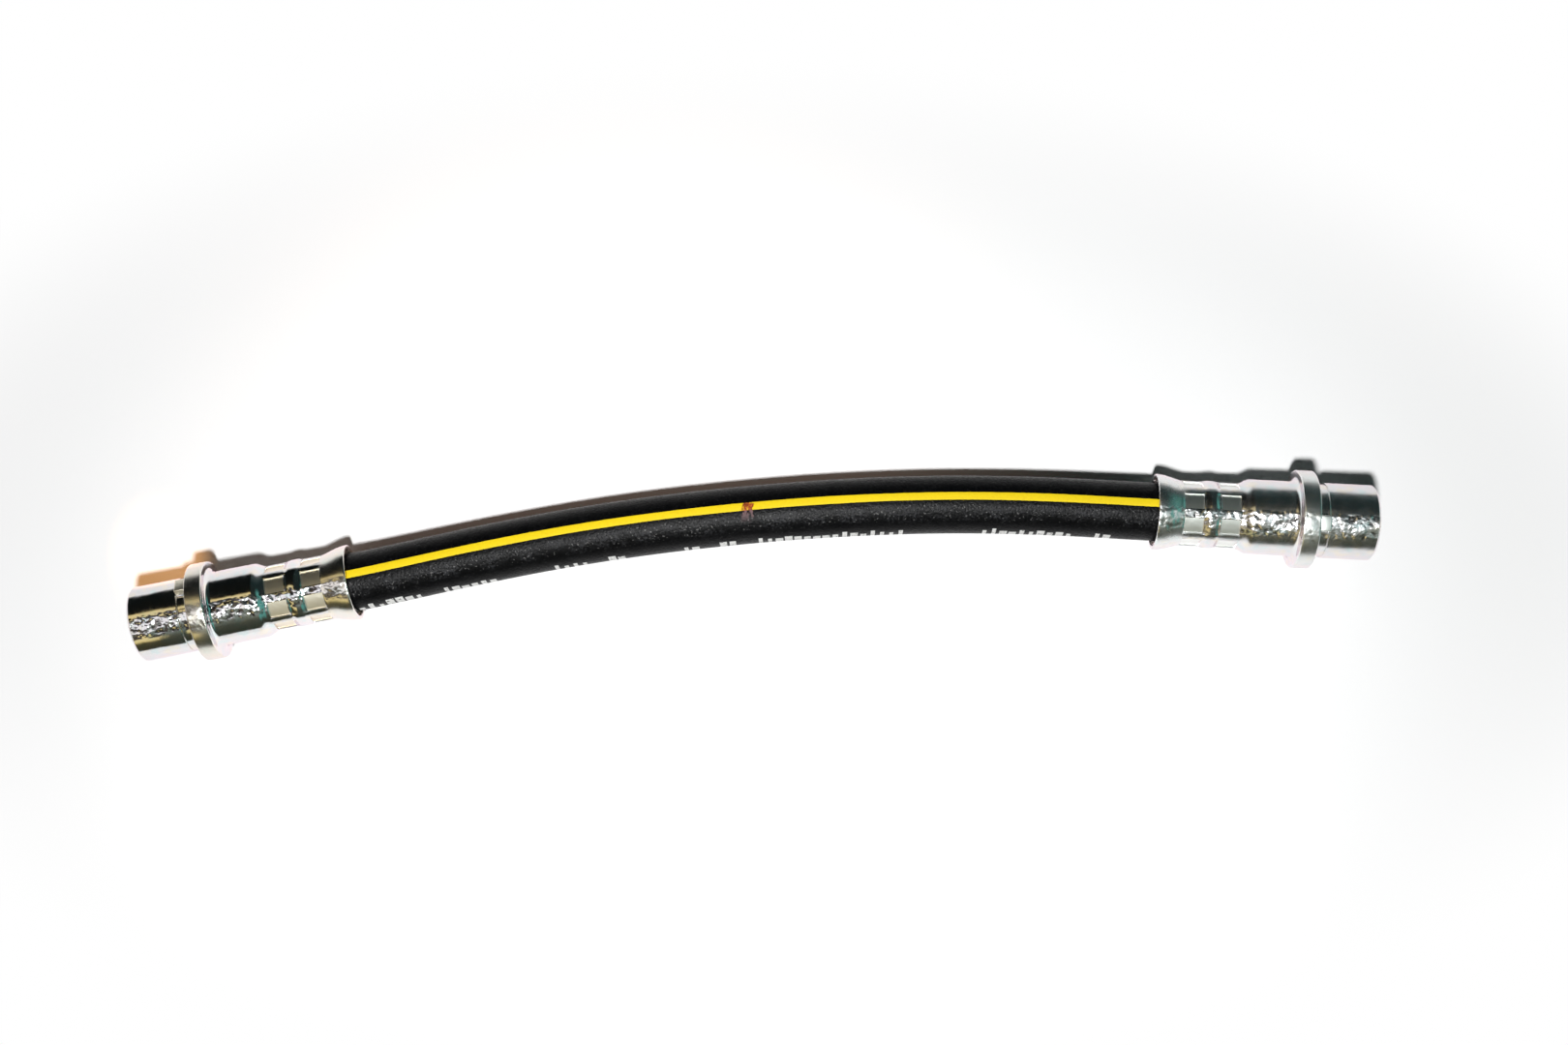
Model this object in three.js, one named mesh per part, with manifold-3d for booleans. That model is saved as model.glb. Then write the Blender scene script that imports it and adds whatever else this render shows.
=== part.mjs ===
// A car's hydraulic brake hose: a rubber hose with two textile braids, crimped at both ends into steel
// fittings with a threaded socket, lying on the plane z = 0. Sizes are in millimetres.

import * as THREE from 'three';
import { mergeVertices } from 'three/addons/utils/BufferGeometryUtils.js';
import Module from 'manifold-3d';

const wasm = await Module();
wasm.setup();
const { lerp, degToRad, clamp } = THREE.MathUtils;

// Hose
const HOSE_DIAMETER = 10.5;
const BORE_DIAMETER = 3.2;
const LINER_WALL = 0.95;
const BRAID_WALL = 0.45;
const CUSHION_WALL = 0.4;
const LAYER_GAP = 0.05;
const CRIMPED_HOSE_DIAMETER = 8.9;
const RELAX_LENGTH = 2.2; // over this the hose swells back to its full diameter, past the crimp

// Yellow stripe along the hose
const STRIPE_WIDTH = 1.4;
const STRIPE_THICKNESS = 0.15;
const STRIPE_ANGLE = 16.5; // degrees from the top of the hose, towards +Y
const STRIPE_HIDDEN = 1.5; // how far it runs on inside each bell mouth

// Crimped shell of a fitting
const SHELL_WALL = 0.75;
const LIP_EDGE = 0.15;
const MOUTH_DIAMETER = 13.7;
const BELL_LENGTH = 4.7;
const BELL_CURVE = [[0.25, 0.9], [0.5, 0.65], [0.75, 0.3]]; // share of its length, share of its flare
const CRIMP_DIAMETER = 11.7; // over the ribs left between the jaw marks
const RING_LENGTH = 3.3;
const JAW_COUNT = 8;
const JAW_WIDTH = 3.7;
const JAW_DEPTH = 0.6;
const BAND_DIAMETER = 12.1;
const BAND_LENGTH = 3.1;
const BAND_SLOPE = 1.0; // length of the slope at each side of the band
const POCKET_BEYOND_CRIMP = 1.0; // how far the hose pocket runs on past the second ring

// Body of a fitting
const SHOULDER_LENGTH = 2.3;
const SHOULDER_CURVE = [[0.25, 0.15], [0.65, 0.75]]; // share of its length, share of its rise
const BARREL_DIAMETER = 13.4;
const BARREL_LENGTH = 7.8;
const FLANGE_DIAMETER = 17.5;
const FLANGE_THICKNESS = 3.0;
const FLANGE_EDGE = 0.3;
const FLANGE_FILLET = 1.0;
const FILLET_KNEE = [0.4, 0.3]; // where the fillet bends: share of its length, share of its height
const NECK_DIAMETER = 12.8;
const NECK_LENGTH = 2.0;
const SOCKET_DIAMETER = 13.4;
const SOCKET_LENGTH = 8.7;
const SOCKET_EDGE = 0.4;
const LUG_WIDTH = 2.8;
const LUG_PROUD = 1.0; // how far the index lug stands out past the socket

// Threaded socket and its insert
const THREAD_BORE_DIAMETER = 8.9; // the crests of an M10 x 1 thread
const THREAD_DEPTH = 10.4;
const LEAD_IN = 0.7;
const INSERT_BORE_DIAMETER = 2.0;
const SEAT_DIAMETER = 6.4;
const SEAT_THICKNESS = 1.3;
const SEAT_CONE_HEIGHT = 1.2;
const SEAT_CONE_TOP_DIAMETER = 3.0;
const BARB_COUNT = 3;
const BARB_PITCH = 3.2;
const BARB_HEIGHT = 0.12;
const BARB_SLOPE = 2.4;
const BARB_CREST = 0.4;
const NOSE_LENGTH = 1.2; // how far the nipple reaches past its barbs
const NOSE_CHAMFER = 0.2;

// Clearances
const FIT_GAP = 0.1;
const STRIPE_GAP = 0.05;

// Facets
const TURNED_SIDES = 32;
const INSERT_SIDES = 16;
const COVER_SIDES = 16;
const LAYER_SIDES = 12;
const FREE_STEPS = 14;

// Centreline of the hose, from the cut end in the left fitting to the cut end in the right one. It is
// straight inside the fittings, comes down to the table and bows gently towards +Y.
const ROUTE = [
  [-86.9, -6.06, 8.04],
  [-79.42, -4.57, 7.46],
  [-71.94, -3.09, 6.88],
  [-69.01, -2.51, 6.65],
  [-63, -1.2, 6.27],
  [-54, 0.78, 5.8],
  [-45, 2.66, 5.48],
  [-36, 4.36, 5.29],
  [-27, 5.85, 5.25],
  [-18, 7.12, 5.25],
  [-9, 8.2, 5.25],
  [0, 9.1, 5.25],
  [9, 9.83, 5.25],
  [18, 10.38, 5.25],
  [27, 10.74, 5.25],
  [36, 10.9, 5.29],
  [45, 10.82, 5.48],
  [54, 10.54, 5.8],
  [63, 10.09, 6.27],
  [69, 9.74, 6.65],
  [71.99, 9.58, 6.88],
  [79.61, 9.18, 7.46],
  [87.23, 8.78, 8.04],
];

// Which way each lug points, in degrees round the fitting from its top
const LEFT_LUG_ANGLE = 45;
const RIGHT_LUG_ANGLE = 5;

// Distances along a fitting, from its bell mouth
const RING_1 = BELL_LENGTH;
const BAND = RING_1 + RING_LENGTH;
const RING_2 = BAND + BAND_LENGTH;
const SHOULDER = RING_2 + RING_LENGTH;
const POCKET_END = SHOULDER + POCKET_BEYOND_CRIMP;
const BARREL = SHOULDER + SHOULDER_LENGTH;
const FLANGE = BARREL + BARREL_LENGTH;
const NECK = FLANGE + FLANGE_THICKNESS;
const SOCKET = NECK + NECK_LENGTH;
const SOCKET_END = SOCKET + SOCKET_LENGTH;
const THREAD_END = SOCKET_END - THREAD_DEPTH;
const HOSE_END = POCKET_END - FIT_GAP;

// The distance from the centre to the flats of a section with this radius at its corners
function flatRadius(radius, sides) {
  return radius * Math.cos(Math.PI / sides);
}

// The corner radius of a section whose flats clear this radius
function clearRadius(radius, sides) {
  return radius / Math.cos(Math.PI / sides);
}

const HOSE_RADIUS = HOSE_DIAMETER / 2;
const BORE_RADIUS = BORE_DIAMETER / 2;
const CRIMPED_RADIUS = CRIMPED_HOSE_DIAMETER / 2;
const POCKET_RADIUS = clearRadius(CRIMPED_RADIUS + FIT_GAP, TURNED_SIDES);
const NIPPLE_RADIUS = flatRadius(BORE_RADIUS, LAYER_SIDES) - LAYER_GAP;
const INSERT_HOLE_RADIUS = clearRadius(NIPPLE_RADIUS + FIT_GAP, TURNED_SIDES);

const rubber = new THREE.MeshStandardMaterial({ color: 0x0b0b0c, roughness: 0.5, metalness: 0 });
const linerRubber = new THREE.MeshStandardMaterial({ color: 0x1c1b1a, roughness: 0.7, metalness: 0 });
const yarn = new THREE.MeshStandardMaterial({ color: 0xd8d2c0, roughness: 0.9, metalness: 0 });
const paint = new THREE.MeshStandardMaterial({ color: 0xf7d513, roughness: 0.45, metalness: 0 });
const zinc = new THREE.MeshStandardMaterial({ color: 0xc9cdcb, roughness: 0.25, metalness: 1 });
const turnedSteel = new THREE.MeshStandardMaterial({ color: 0xa9abad, roughness: 0.35, metalness: 1 });

// A solid for joining and cutting, from a closed geometry
function toSolid(geometry) {
  const bare = geometry.clone();
  bare.deleteAttribute('normal');
  bare.deleteAttribute('uv');
  const merged = mergeVertices(bare);
  return new wasm.Manifold(new wasm.Mesh({
    numProp: 3,
    vertProperties: merged.attributes.position.array,
    triVerts: new Uint32Array(merged.index.array),
  }));
}

function toGeometry(solid) {
  const mesh = solid.getMesh();
  const geometry = new THREE.BufferGeometry();
  geometry.setAttribute('position', new THREE.BufferAttribute(mesh.vertProperties, 3));
  geometry.setIndex(new THREE.BufferAttribute(mesh.triVerts, 1));
  geometry.computeVertexNormals();
  return geometry;
}

function namedMesh(name, geometry, material) {
  const mesh = new THREE.Mesh(geometry, material);
  mesh.name = name;
  return mesh;
}

// A turned piece about local Y, from [radius, distance] pairs that run up the outside and down the inside
function turned(profile, sides) {
  const points = profile.map(([radius, distance]) => new THREE.Vector2(radius, distance));
  points.push(points[0].clone());
  return new THREE.LatheGeometry(points, sides);
}

// The hose's path, with a ring at each of the given distances along it
class StationedPath extends THREE.Curve {
  constructor(curve, stations) {
    super();
    this.curve = curve;
    this.stations = stations;
  }

  share(t) {
    const index = Math.round(t * (this.stations.length - 1));
    return this.stations[index] / this.curve.getLength();
  }

  getPointAt(t, target) {
    return this.curve.getPointAt(this.share(t), target);
  }

  getTangentAt(t, target) {
    return this.curve.getTangentAt(this.share(t), target);
  }
}

const routePoints = ROUTE.map((point) => new THREE.Vector3(...point));
const route = new THREE.CatmullRomCurve3(routePoints, false, 'centripetal');
const hoseLength = route.getLength();
const gripLength = HOSE_END - BELL_LENGTH;

// Even steps between the bell mouths
function freeStations() {
  const freeLength = hoseLength - 2 * HOSE_END;
  return Array.from({ length: FREE_STEPS + 1 }, (_, i) => HOSE_END + (freeLength * i) / FREE_STEPS);
}

function hoseStations() {
  const inLeft = [0, gripLength, gripLength + RELAX_LENGTH];
  const inRight = inLeft.map((distance) => hoseLength - distance).reverse();
  return [...inLeft, ...freeStations(), ...inRight];
}

// How much of the wall's thickness is left at this distance along the hose
function squeezeAt(distance) {
  const fromEnd = Math.min(distance, hoseLength - distance);
  const squeezed = (CRIMPED_RADIUS - BORE_RADIUS) / (HOSE_RADIUS - BORE_RADIUS);
  const relaxed = clamp((fromEnd - gripLength) / RELAX_LENGTH, 0, 1);
  return lerp(squeezed, 1, relaxed);
}

// Presses the ends of a swept layer towards the bore, as the crimp does
function squeezeEnds(geometry, stations) {
  const centres = stations.map((distance) => route.getPointAt(distance / hoseLength));
  const factors = stations.map(squeezeAt);
  const position = geometry.attributes.position;
  const vertex = new THREE.Vector3();
  for (let i = 0; i < position.count; i += 1) {
    vertex.fromBufferAttribute(position, i);
    const ring = centres.reduce(
      (best, centre, index) => (centre.distanceTo(vertex) < centres[best].distanceTo(vertex) ? index : best),
      0,
    );
    const offset = vertex.clone().sub(centres[ring]);
    const radius = offset.length();
    offset.setLength(BORE_RADIUS + (radius - BORE_RADIUS) * factors[ring]);
    vertex.copy(centres[ring]).add(offset);
    position.setXYZ(i, vertex.x, vertex.y, vertex.z);
  }
  return geometry;
}

// The section's own x points down and its y sideways, towards +Y, once it is swept along the hose
function sectionPoint(radius, degreesFromTop) {
  const angle = degToRad(degreesFromTop);
  return new THREE.Vector2(-radius * Math.cos(angle), radius * Math.sin(angle));
}

// A regular polygon with one flat centred on the stripe, anticlockwise as a shape with a hole needs
function ringPoints(radius, sides) {
  const step = 360 / sides;
  return Array.from({ length: sides }, (_, i) => sectionPoint(radius, STRIPE_ANGLE - step * (i + 0.5)));
}

function sweptLayer(innerRadius, outerRadius, outerSides) {
  const section = new THREE.Shape(ringPoints(outerRadius, outerSides));
  section.holes.push(new THREE.Path(ringPoints(innerRadius, LAYER_SIDES)));
  const stations = hoseStations();
  const geometry = new THREE.ExtrudeGeometry(section, {
    steps: stations.length - 1,
    extrudePath: new StationedPath(route, stations),
    bevelEnabled: false,
  });
  return squeezeEnds(geometry, stations);
}

// The hose's layers, from the bore outwards
function hoseLayers() {
  const walls = [
    ['inner_liner', LINER_WALL, linerRubber],
    ['inner_braid', BRAID_WALL, yarn],
    ['cushion_layer', CUSHION_WALL, linerRubber],
    ['outer_braid', BRAID_WALL, yarn],
  ];
  const layers = [];
  let radius = BORE_RADIUS;
  for (const [name, wall, material] of walls) {
    layers.push(namedMesh(name, sweptLayer(radius, radius + wall, LAYER_SIDES), material));
    radius += wall + LAYER_GAP;
  }
  layers.push(namedMesh('outer_cover', sweptLayer(radius, HOSE_RADIUS, COVER_SIDES), rubber));
  return layers;
}

function markingStripe() {
  const inside = flatRadius(HOSE_RADIUS, COVER_SIDES) + STRIPE_GAP;
  const corners = [
    [inside, -1],
    [inside, 1],
    [inside + STRIPE_THICKNESS, 1],
    [inside + STRIPE_THICKNESS, -1],
  ];
  const middle = sectionPoint(1, STRIPE_ANGLE);
  const across = sectionPoint(1, STRIPE_ANGLE + 90);
  const section = new THREE.Shape(corners.map(([height, side]) => new THREE.Vector2()
    .addScaledVector(middle, height)
    .addScaledVector(across, (side * STRIPE_WIDTH) / 2)));
  const stations = freeStations();
  stations[0] -= STRIPE_HIDDEN;
  stations[stations.length - 1] += STRIPE_HIDDEN;
  const geometry = new THREE.ExtrudeGeometry(section, {
    steps: stations.length - 1,
    extrudePath: new StationedPath(route, stations),
    bevelEnabled: false,
  });
  return namedMesh('marking_stripe', geometry, paint);
}

// The outline of the steel body, turned about its axis, before it is crimped
function bodyProfile() {
  const mouth = MOUTH_DIAMETER / 2;
  const crimp = CRIMP_DIAMETER / 2;
  const band = BAND_DIAMETER / 2;
  const barrel = BARREL_DIAMETER / 2;
  const flange = FLANGE_DIAMETER / 2;
  const neck = NECK_DIAMETER / 2;
  const socket = SOCKET_DIAMETER / 2;
  const bore = THREAD_BORE_DIAMETER / 2;
  const seat = clearRadius(SEAT_DIAMETER / 2 + FIT_GAP, TURNED_SIDES);
  const bell = BELL_CURVE.map(([along, flare]) => [lerp(crimp, mouth, flare), BELL_LENGTH * along]);
  const shoulder = SHOULDER_CURVE.map(([along, rise]) => [
    lerp(crimp, barrel, rise),
    SHOULDER + SHOULDER_LENGTH * along,
  ]);
  const [kneeBack, kneeRise] = FILLET_KNEE;
  return [
    [mouth - SHELL_WALL, LIP_EDGE],
    [mouth - SHELL_WALL + LIP_EDGE, 0],
    [mouth - LIP_EDGE, 0],
    [mouth, LIP_EDGE],
    ...bell,
    [crimp, RING_1],
    [crimp, BAND],
    [band, BAND + BAND_SLOPE],
    [band, RING_2 - BAND_SLOPE],
    [crimp, RING_2],
    [crimp, SHOULDER],
    ...shoulder,
    [barrel, BARREL],
    [barrel, FLANGE - FLANGE_FILLET],
    [barrel + FLANGE_FILLET * kneeRise, FLANGE - FLANGE_FILLET * kneeBack],
    [barrel + FLANGE_FILLET, FLANGE],
    [flange - FLANGE_EDGE, FLANGE],
    [flange, FLANGE + FLANGE_EDGE],
    [flange, NECK - FLANGE_EDGE],
    [flange - FLANGE_EDGE, NECK],
    [neck, NECK],
    [neck, SOCKET],
    [socket, SOCKET],
    [socket, SOCKET_END - SOCKET_EDGE],
    [socket - SOCKET_EDGE, SOCKET_END],
    [bore + LEAD_IN, SOCKET_END],
    [bore, SOCKET_END - LEAD_IN],
    [bore, THREAD_END],
    [seat, THREAD_END],
    [seat, THREAD_END - SEAT_THICKNESS],
    [INSERT_HOLE_RADIUS, THREAD_END - SEAT_THICKNESS],
    [INSERT_HOLE_RADIUS, POCKET_END],
    [POCKET_RADIUS, POCKET_END],
    [POCKET_RADIUS, RING_1],
    ...bell.map(([radius, distance]) => [radius - SHELL_WALL, distance]).reverse(),
  ];
}

// The block of metal that one crimping jaw presses in, with its flat face towards the axis
function jawMark(ringStart, degrees) {
  const floor = CRIMP_DIAMETER / 2 - JAW_DEPTH;
  const block = new THREE.BoxGeometry(JAW_WIDTH, RING_LENGTH, 2 * JAW_DEPTH);
  block.translate(0, ringStart + RING_LENGTH / 2, floor + JAW_DEPTH);
  return block.rotateY(degToRad(degrees));
}

// The index lug in the neck, joined to the flange's face
function indexLug(degrees) {
  const top = SOCKET_DIAMETER / 2 + LUG_PROUD;
  const root = NECK_DIAMETER / 2 - LUG_PROUD / 2;
  const overlap = FLANGE_EDGE;
  const block = new THREE.BoxGeometry(LUG_WIDTH, NECK_LENGTH + overlap, top - root);
  block.translate(0, NECK + (NECK_LENGTH - overlap) / 2, (top + root) / 2);
  return block.rotateY(degToRad(degrees));
}

function fittingBody(lugAngle) {
  let body = toSolid(turned(bodyProfile(), TURNED_SIDES));
  for (const ringStart of [RING_1, RING_2]) {
    for (let jaw = 0; jaw < JAW_COUNT; jaw += 1) {
      const mark = jawMark(ringStart, ((jaw + 0.5) * 360) / JAW_COUNT);
      body = body.subtract(toSolid(mark));
    }
  }
  return toGeometry(body.add(toSolid(indexLug(lugAngle))));
}

// The nipple tube with its barbs, and the seat that the brake pipe's flare closes on
function insertProfile() {
  const bore = INSERT_BORE_DIAMETER / 2;
  const root = NIPPLE_RADIUS - BARB_HEIGHT;
  const nose = RING_1 - NOSE_LENGTH;
  const barbs = [];
  for (let i = 0; i < BARB_COUNT; i += 1) {
    const start = RING_1 + i * BARB_PITCH;
    barbs.push([root, start]);
    barbs.push([NIPPLE_RADIUS, start + BARB_SLOPE]);
    barbs.push([NIPPLE_RADIUS, start + BARB_SLOPE + BARB_CREST]);
  }
  const seatFloor = THREAD_END - SEAT_THICKNESS + FIT_GAP;
  return [
    [bore, nose],
    [root - NOSE_CHAMFER, nose],
    [root, nose + NOSE_CHAMFER],
    ...barbs,
    [NIPPLE_RADIUS, POCKET_END],
    [NIPPLE_RADIUS, seatFloor],
    [SEAT_DIAMETER / 2, seatFloor],
    [SEAT_DIAMETER / 2, seatFloor + SEAT_THICKNESS],
    [SEAT_CONE_TOP_DIAMETER / 2, seatFloor + SEAT_THICKNESS + SEAT_CONE_HEIGHT],
    [bore, seatFloor + SEAT_THICKNESS + SEAT_CONE_HEIGHT],
  ];
}

// A fitting on one end of the hose: local Y runs out along its axis and local Z faces up
function endFitting(side, hoseEnd, inward, lugAngle) {
  const axis = hoseEnd.clone().sub(inward).normalize();
  const sideways = new THREE.Vector3().crossVectors(axis, new THREE.Vector3(0, 0, 1)).normalize();
  const up = new THREE.Vector3().crossVectors(sideways, axis);
  const fitting = new THREE.Group();
  fitting.quaternion.setFromRotationMatrix(new THREE.Matrix4().makeBasis(sideways, axis, up));
  fitting.position.copy(hoseEnd).addScaledVector(axis, -HOSE_END);
  fitting.add(namedMesh(`${side}_end_fitting`, fittingBody(lugAngle), zinc));
  fitting.add(namedMesh(`${side}_insert`, turned(insertProfile(), INSERT_SIDES), turnedSteel));
  return fitting;
}

const brakeHose = new THREE.Group();
brakeHose.add(...hoseLayers(), markingStripe());
brakeHose.add(endFitting('left', routePoints[0], routePoints[1], LEFT_LUG_ANGLE));
brakeHose.add(endFitting('right', routePoints.at(-1), routePoints.at(-2), RIGHT_LUG_ANGLE));

// Whatever size it has, it lies on z = 0
brakeHose.position.z -= new THREE.Box3().setFromObject(brakeHose, true).min.z;

export default brakeHose;
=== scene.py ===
"""A car's hydraulic brake hose, lying on a pale table and seen from straight above.

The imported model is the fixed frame. The hose runs along +X and bows towards +Y, and the table is the plane
z = 0. All lengths are in metres, written as millimetres times MM.
"""

import logging
import math
from dataclasses import dataclass
from enum import Enum
from typing import Callable, Optional, Union

import bmesh
import bpy
from mathutils import Matrix, Vector


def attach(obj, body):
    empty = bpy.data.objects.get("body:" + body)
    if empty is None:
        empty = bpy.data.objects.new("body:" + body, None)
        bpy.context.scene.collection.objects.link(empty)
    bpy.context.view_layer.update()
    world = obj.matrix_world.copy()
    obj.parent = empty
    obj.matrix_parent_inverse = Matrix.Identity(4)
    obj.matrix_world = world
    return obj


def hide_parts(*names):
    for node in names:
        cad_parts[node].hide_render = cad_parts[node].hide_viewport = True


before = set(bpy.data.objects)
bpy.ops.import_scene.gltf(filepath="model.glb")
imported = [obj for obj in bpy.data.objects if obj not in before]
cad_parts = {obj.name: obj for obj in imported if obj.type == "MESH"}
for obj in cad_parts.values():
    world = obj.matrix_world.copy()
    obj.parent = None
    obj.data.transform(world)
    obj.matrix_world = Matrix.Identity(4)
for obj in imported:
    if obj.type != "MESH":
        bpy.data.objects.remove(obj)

MM = 0.001
BODY = "root"
LOG = logging.getLogger("brake_hose")

Piece = bpy.types.Object
Material = bpy.types.Material
Socket = bpy.types.NodeSocket
Colour = tuple[float, float, float]
Point3 = tuple[float, float, float]
Point2 = tuple[float, float]
Feed = Union[float, Colour, Socket]

MERGE_DISTANCE = 0.0002 * MM
ARC_STEPS = 4
ARC_REACH = 0.48
FLAT_CORNER = math.radians(88)
HOSE_SMOOTH = math.radians(50)
TURNED_SMOOTH = math.radians(32)
TRIM_SMOOTH = math.radians(30)
HOSE_MAP = "HoseMap"
PATCH_EDGE = 0.05 * MM

# The hose's centreline from the cut end in the left fitting to the cut end in the right one
ROUTE: list[Point3] = [
    (-0.0869, -0.00606, 0.00804),
    (-0.07942, -0.00457, 0.00746),
    (-0.07194, -0.00309, 0.00688),
    (-0.06901, -0.00251, 0.00665),
    (-0.063, -0.0012, 0.00627),
    (-0.054, 0.00078, 0.0058),
    (-0.045, 0.00266, 0.00548),
    (-0.036, 0.00436, 0.00529),
    (-0.027, 0.00585, 0.00525),
    (-0.018, 0.00712, 0.00525),
    (-0.009, 0.0082, 0.00525),
    (0.0, 0.0091, 0.00525),
    (0.009, 0.00983, 0.00525),
    (0.018, 0.01038, 0.00525),
    (0.027, 0.01074, 0.00525),
    (0.036, 0.0109, 0.00529),
    (0.045, 0.01082, 0.00548),
    (0.054, 0.01054, 0.0058),
    (0.063, 0.01009, 0.00627),
    (0.069, 0.00974, 0.00665),
    (0.07199, 0.00958, 0.00688),
    (0.07961, 0.00918, 0.00746),
    (0.08723, 0.00878, 0.00804),
]


class End(Enum):
    """The two ends of the hose."""

    LEFT = "left"
    RIGHT = "right"


class Ray(Enum):
    """The rays that see the pale studio instead of being lit by it."""

    CAMERA = "Is Camera Ray"
    GLOSSY = "Is Glossy Ray"
    TRANSMISSION = "Is Transmission Ray"


# Modelling tools


def deselect_everything() -> None:
    """Leaves no object selected."""
    bpy.ops.object.select_all(action="DESELECT")


def activate(piece: Piece) -> None:
    """Makes a piece the only selected and the active one.

    Args:
        piece: the piece to make active.
    """
    deselect_everything()
    piece.select_set(True)
    bpy.context.view_layer.objects.active = piece


def select_faces(piece: Piece, wanted: Callable[[Vector], bool]) -> None:
    """Selects the faces of the piece in edit mode by their middle.

    Args:
        piece: the piece that is in edit mode.
        wanted: says for a face's middle whether the face is wanted.
    """
    bpy.ops.mesh.select_mode(type="FACE")
    mesh = bmesh.from_edit_mesh(piece.data)
    for face in mesh.faces:
        face.select_set(False)
    for face in mesh.faces:
        face.select_set(wanted(face.calc_center_median()))
    bmesh.update_edit_mesh(piece.data)


def select_vertices(piece: Piece, wanted: Callable[[Vector], bool]) -> int:
    """Selects the vertices of the piece in edit mode by their place.

    Args:
        piece: the piece that is in edit mode.
        wanted: says for a vertex's place whether the vertex is wanted.

    Returns:
        How many vertices are selected.
    """
    bpy.ops.mesh.select_mode(type="VERT")
    mesh = bmesh.from_edit_mesh(piece.data)
    for vertex in mesh.verts:
        vertex.select_set(False)
    for vertex in mesh.verts:
        vertex.select_set(wanted(vertex.co))
    bmesh.update_edit_mesh(piece.data)
    return sum(vertex.select for vertex in mesh.verts)


def draw_outline(name: str, points: list[Point2], turn: float = 0.0) -> Piece:
    """Draws a closed outline in a plane through Z, one vertex extruded after the other.

    Args:
        name: the new piece's name.
        points: radius and height of each corner, in order.
        turn: the plane's angle from +X, in radians.

    Returns:
        The piece, in edit mode with everything selected.
    """
    places = [Vector((r * math.cos(turn), r * math.sin(turn), height)) for r, height in points]
    bpy.ops.mesh.primitive_plane_add(size=MM)
    piece = bpy.context.object
    piece.name = name
    bpy.ops.object.mode_set(mode="EDIT")
    bpy.ops.mesh.select_mode(type="VERT")
    bpy.ops.mesh.merge(type="CENTER")
    bpy.ops.transform.translate(value=places[0])
    for before, after in zip(places, places[1:] + places[:1]):
        bpy.ops.mesh.extrude_vertices_move(TRANSFORM_OT_translate={"value": after - before})
    bpy.ops.mesh.select_all(action="SELECT")
    bpy.ops.mesh.remove_doubles(threshold=MERGE_DISTANCE)
    return piece


def polar(point: Vector) -> Point2:
    """A point's distance from the Z axis, and its angle from +X, either way round."""
    return math.hypot(point.x, point.y), abs(math.atan2(point.y, point.x))


def round_corners(points: list[Point3]) -> list[Point2]:
    """Rounds the corners of a closed outline with arcs.

    Args:
        points: each corner with its rounding radius, which may be 0.

    Returns:
        The corners of the rounded outline.
    """
    rounded: list[Point2] = []
    for index, (x, y, radius) in enumerate(points):
        corner = Vector((x, y))
        back = Vector(points[index - 1][:2]) - corner
        ahead = Vector(points[(index + 1) % len(points)][:2]) - corner
        half = back.angle(ahead) / 2 if back.length and ahead.length else math.pi / 2
        if radius <= 0 or half > FLAT_CORNER:
            rounded.append((x, y))
            continue
        reach = min(radius / math.tan(half), ARC_REACH * back.length, ARC_REACH * ahead.length)
        first = corner + back.normalized() * reach
        last = corner + ahead.normalized() * reach
        for step in range(ARC_STEPS + 1):
            share = step / ARC_STEPS
            on_curve = first.lerp(corner, share).lerp(corner.lerp(last, share), share)
            rounded.append((on_curve.x, on_curve.y))
    return rounded


def apply_modifier(piece: Piece, kind: str, **settings: object) -> None:
    """Adds a modifier with its settings and applies it.

    Args:
        piece: the piece that it changes.
        kind: the modifier's type.
        settings: its properties.
    """
    modifier = piece.modifiers.new(kind, kind)
    for name, value in settings.items():
        setattr(modifier, name, value)
    activate(piece)
    bpy.ops.object.modifier_apply(modifier=modifier.name)


def finish_mesh(piece: Piece, smooth_angle: float) -> None:
    """Merges doubles, turns the faces outwards and smooths all but the sharp edges.

    Args:
        piece: the piece to finish, in either mode.
        smooth_angle: edges sharper than this stay sharp, in radians.
    """
    if bpy.context.mode != "OBJECT":
        bpy.ops.object.mode_set(mode="OBJECT")
    activate(piece)
    bpy.ops.object.mode_set(mode="EDIT")
    bpy.ops.mesh.select_all(action="SELECT")
    bpy.ops.mesh.remove_doubles(threshold=MERGE_DISTANCE)
    bpy.ops.mesh.normals_make_consistent(inside=False)
    bpy.ops.object.mode_set(mode="OBJECT")
    bpy.ops.object.shade_smooth_by_angle(angle=smooth_angle)


def dress(piece: Piece, material: Material) -> None:
    """Gives a piece its material and lets it ride on the hose's body.

    Args:
        piece: the finished piece.
        material: its only material.
    """
    piece.data.materials.clear()
    piece.data.materials.append(material)
    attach(piece, BODY)
    LOG.info("%s: %d faces", piece.name, len(piece.data.polygons))


# Material tools


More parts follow.
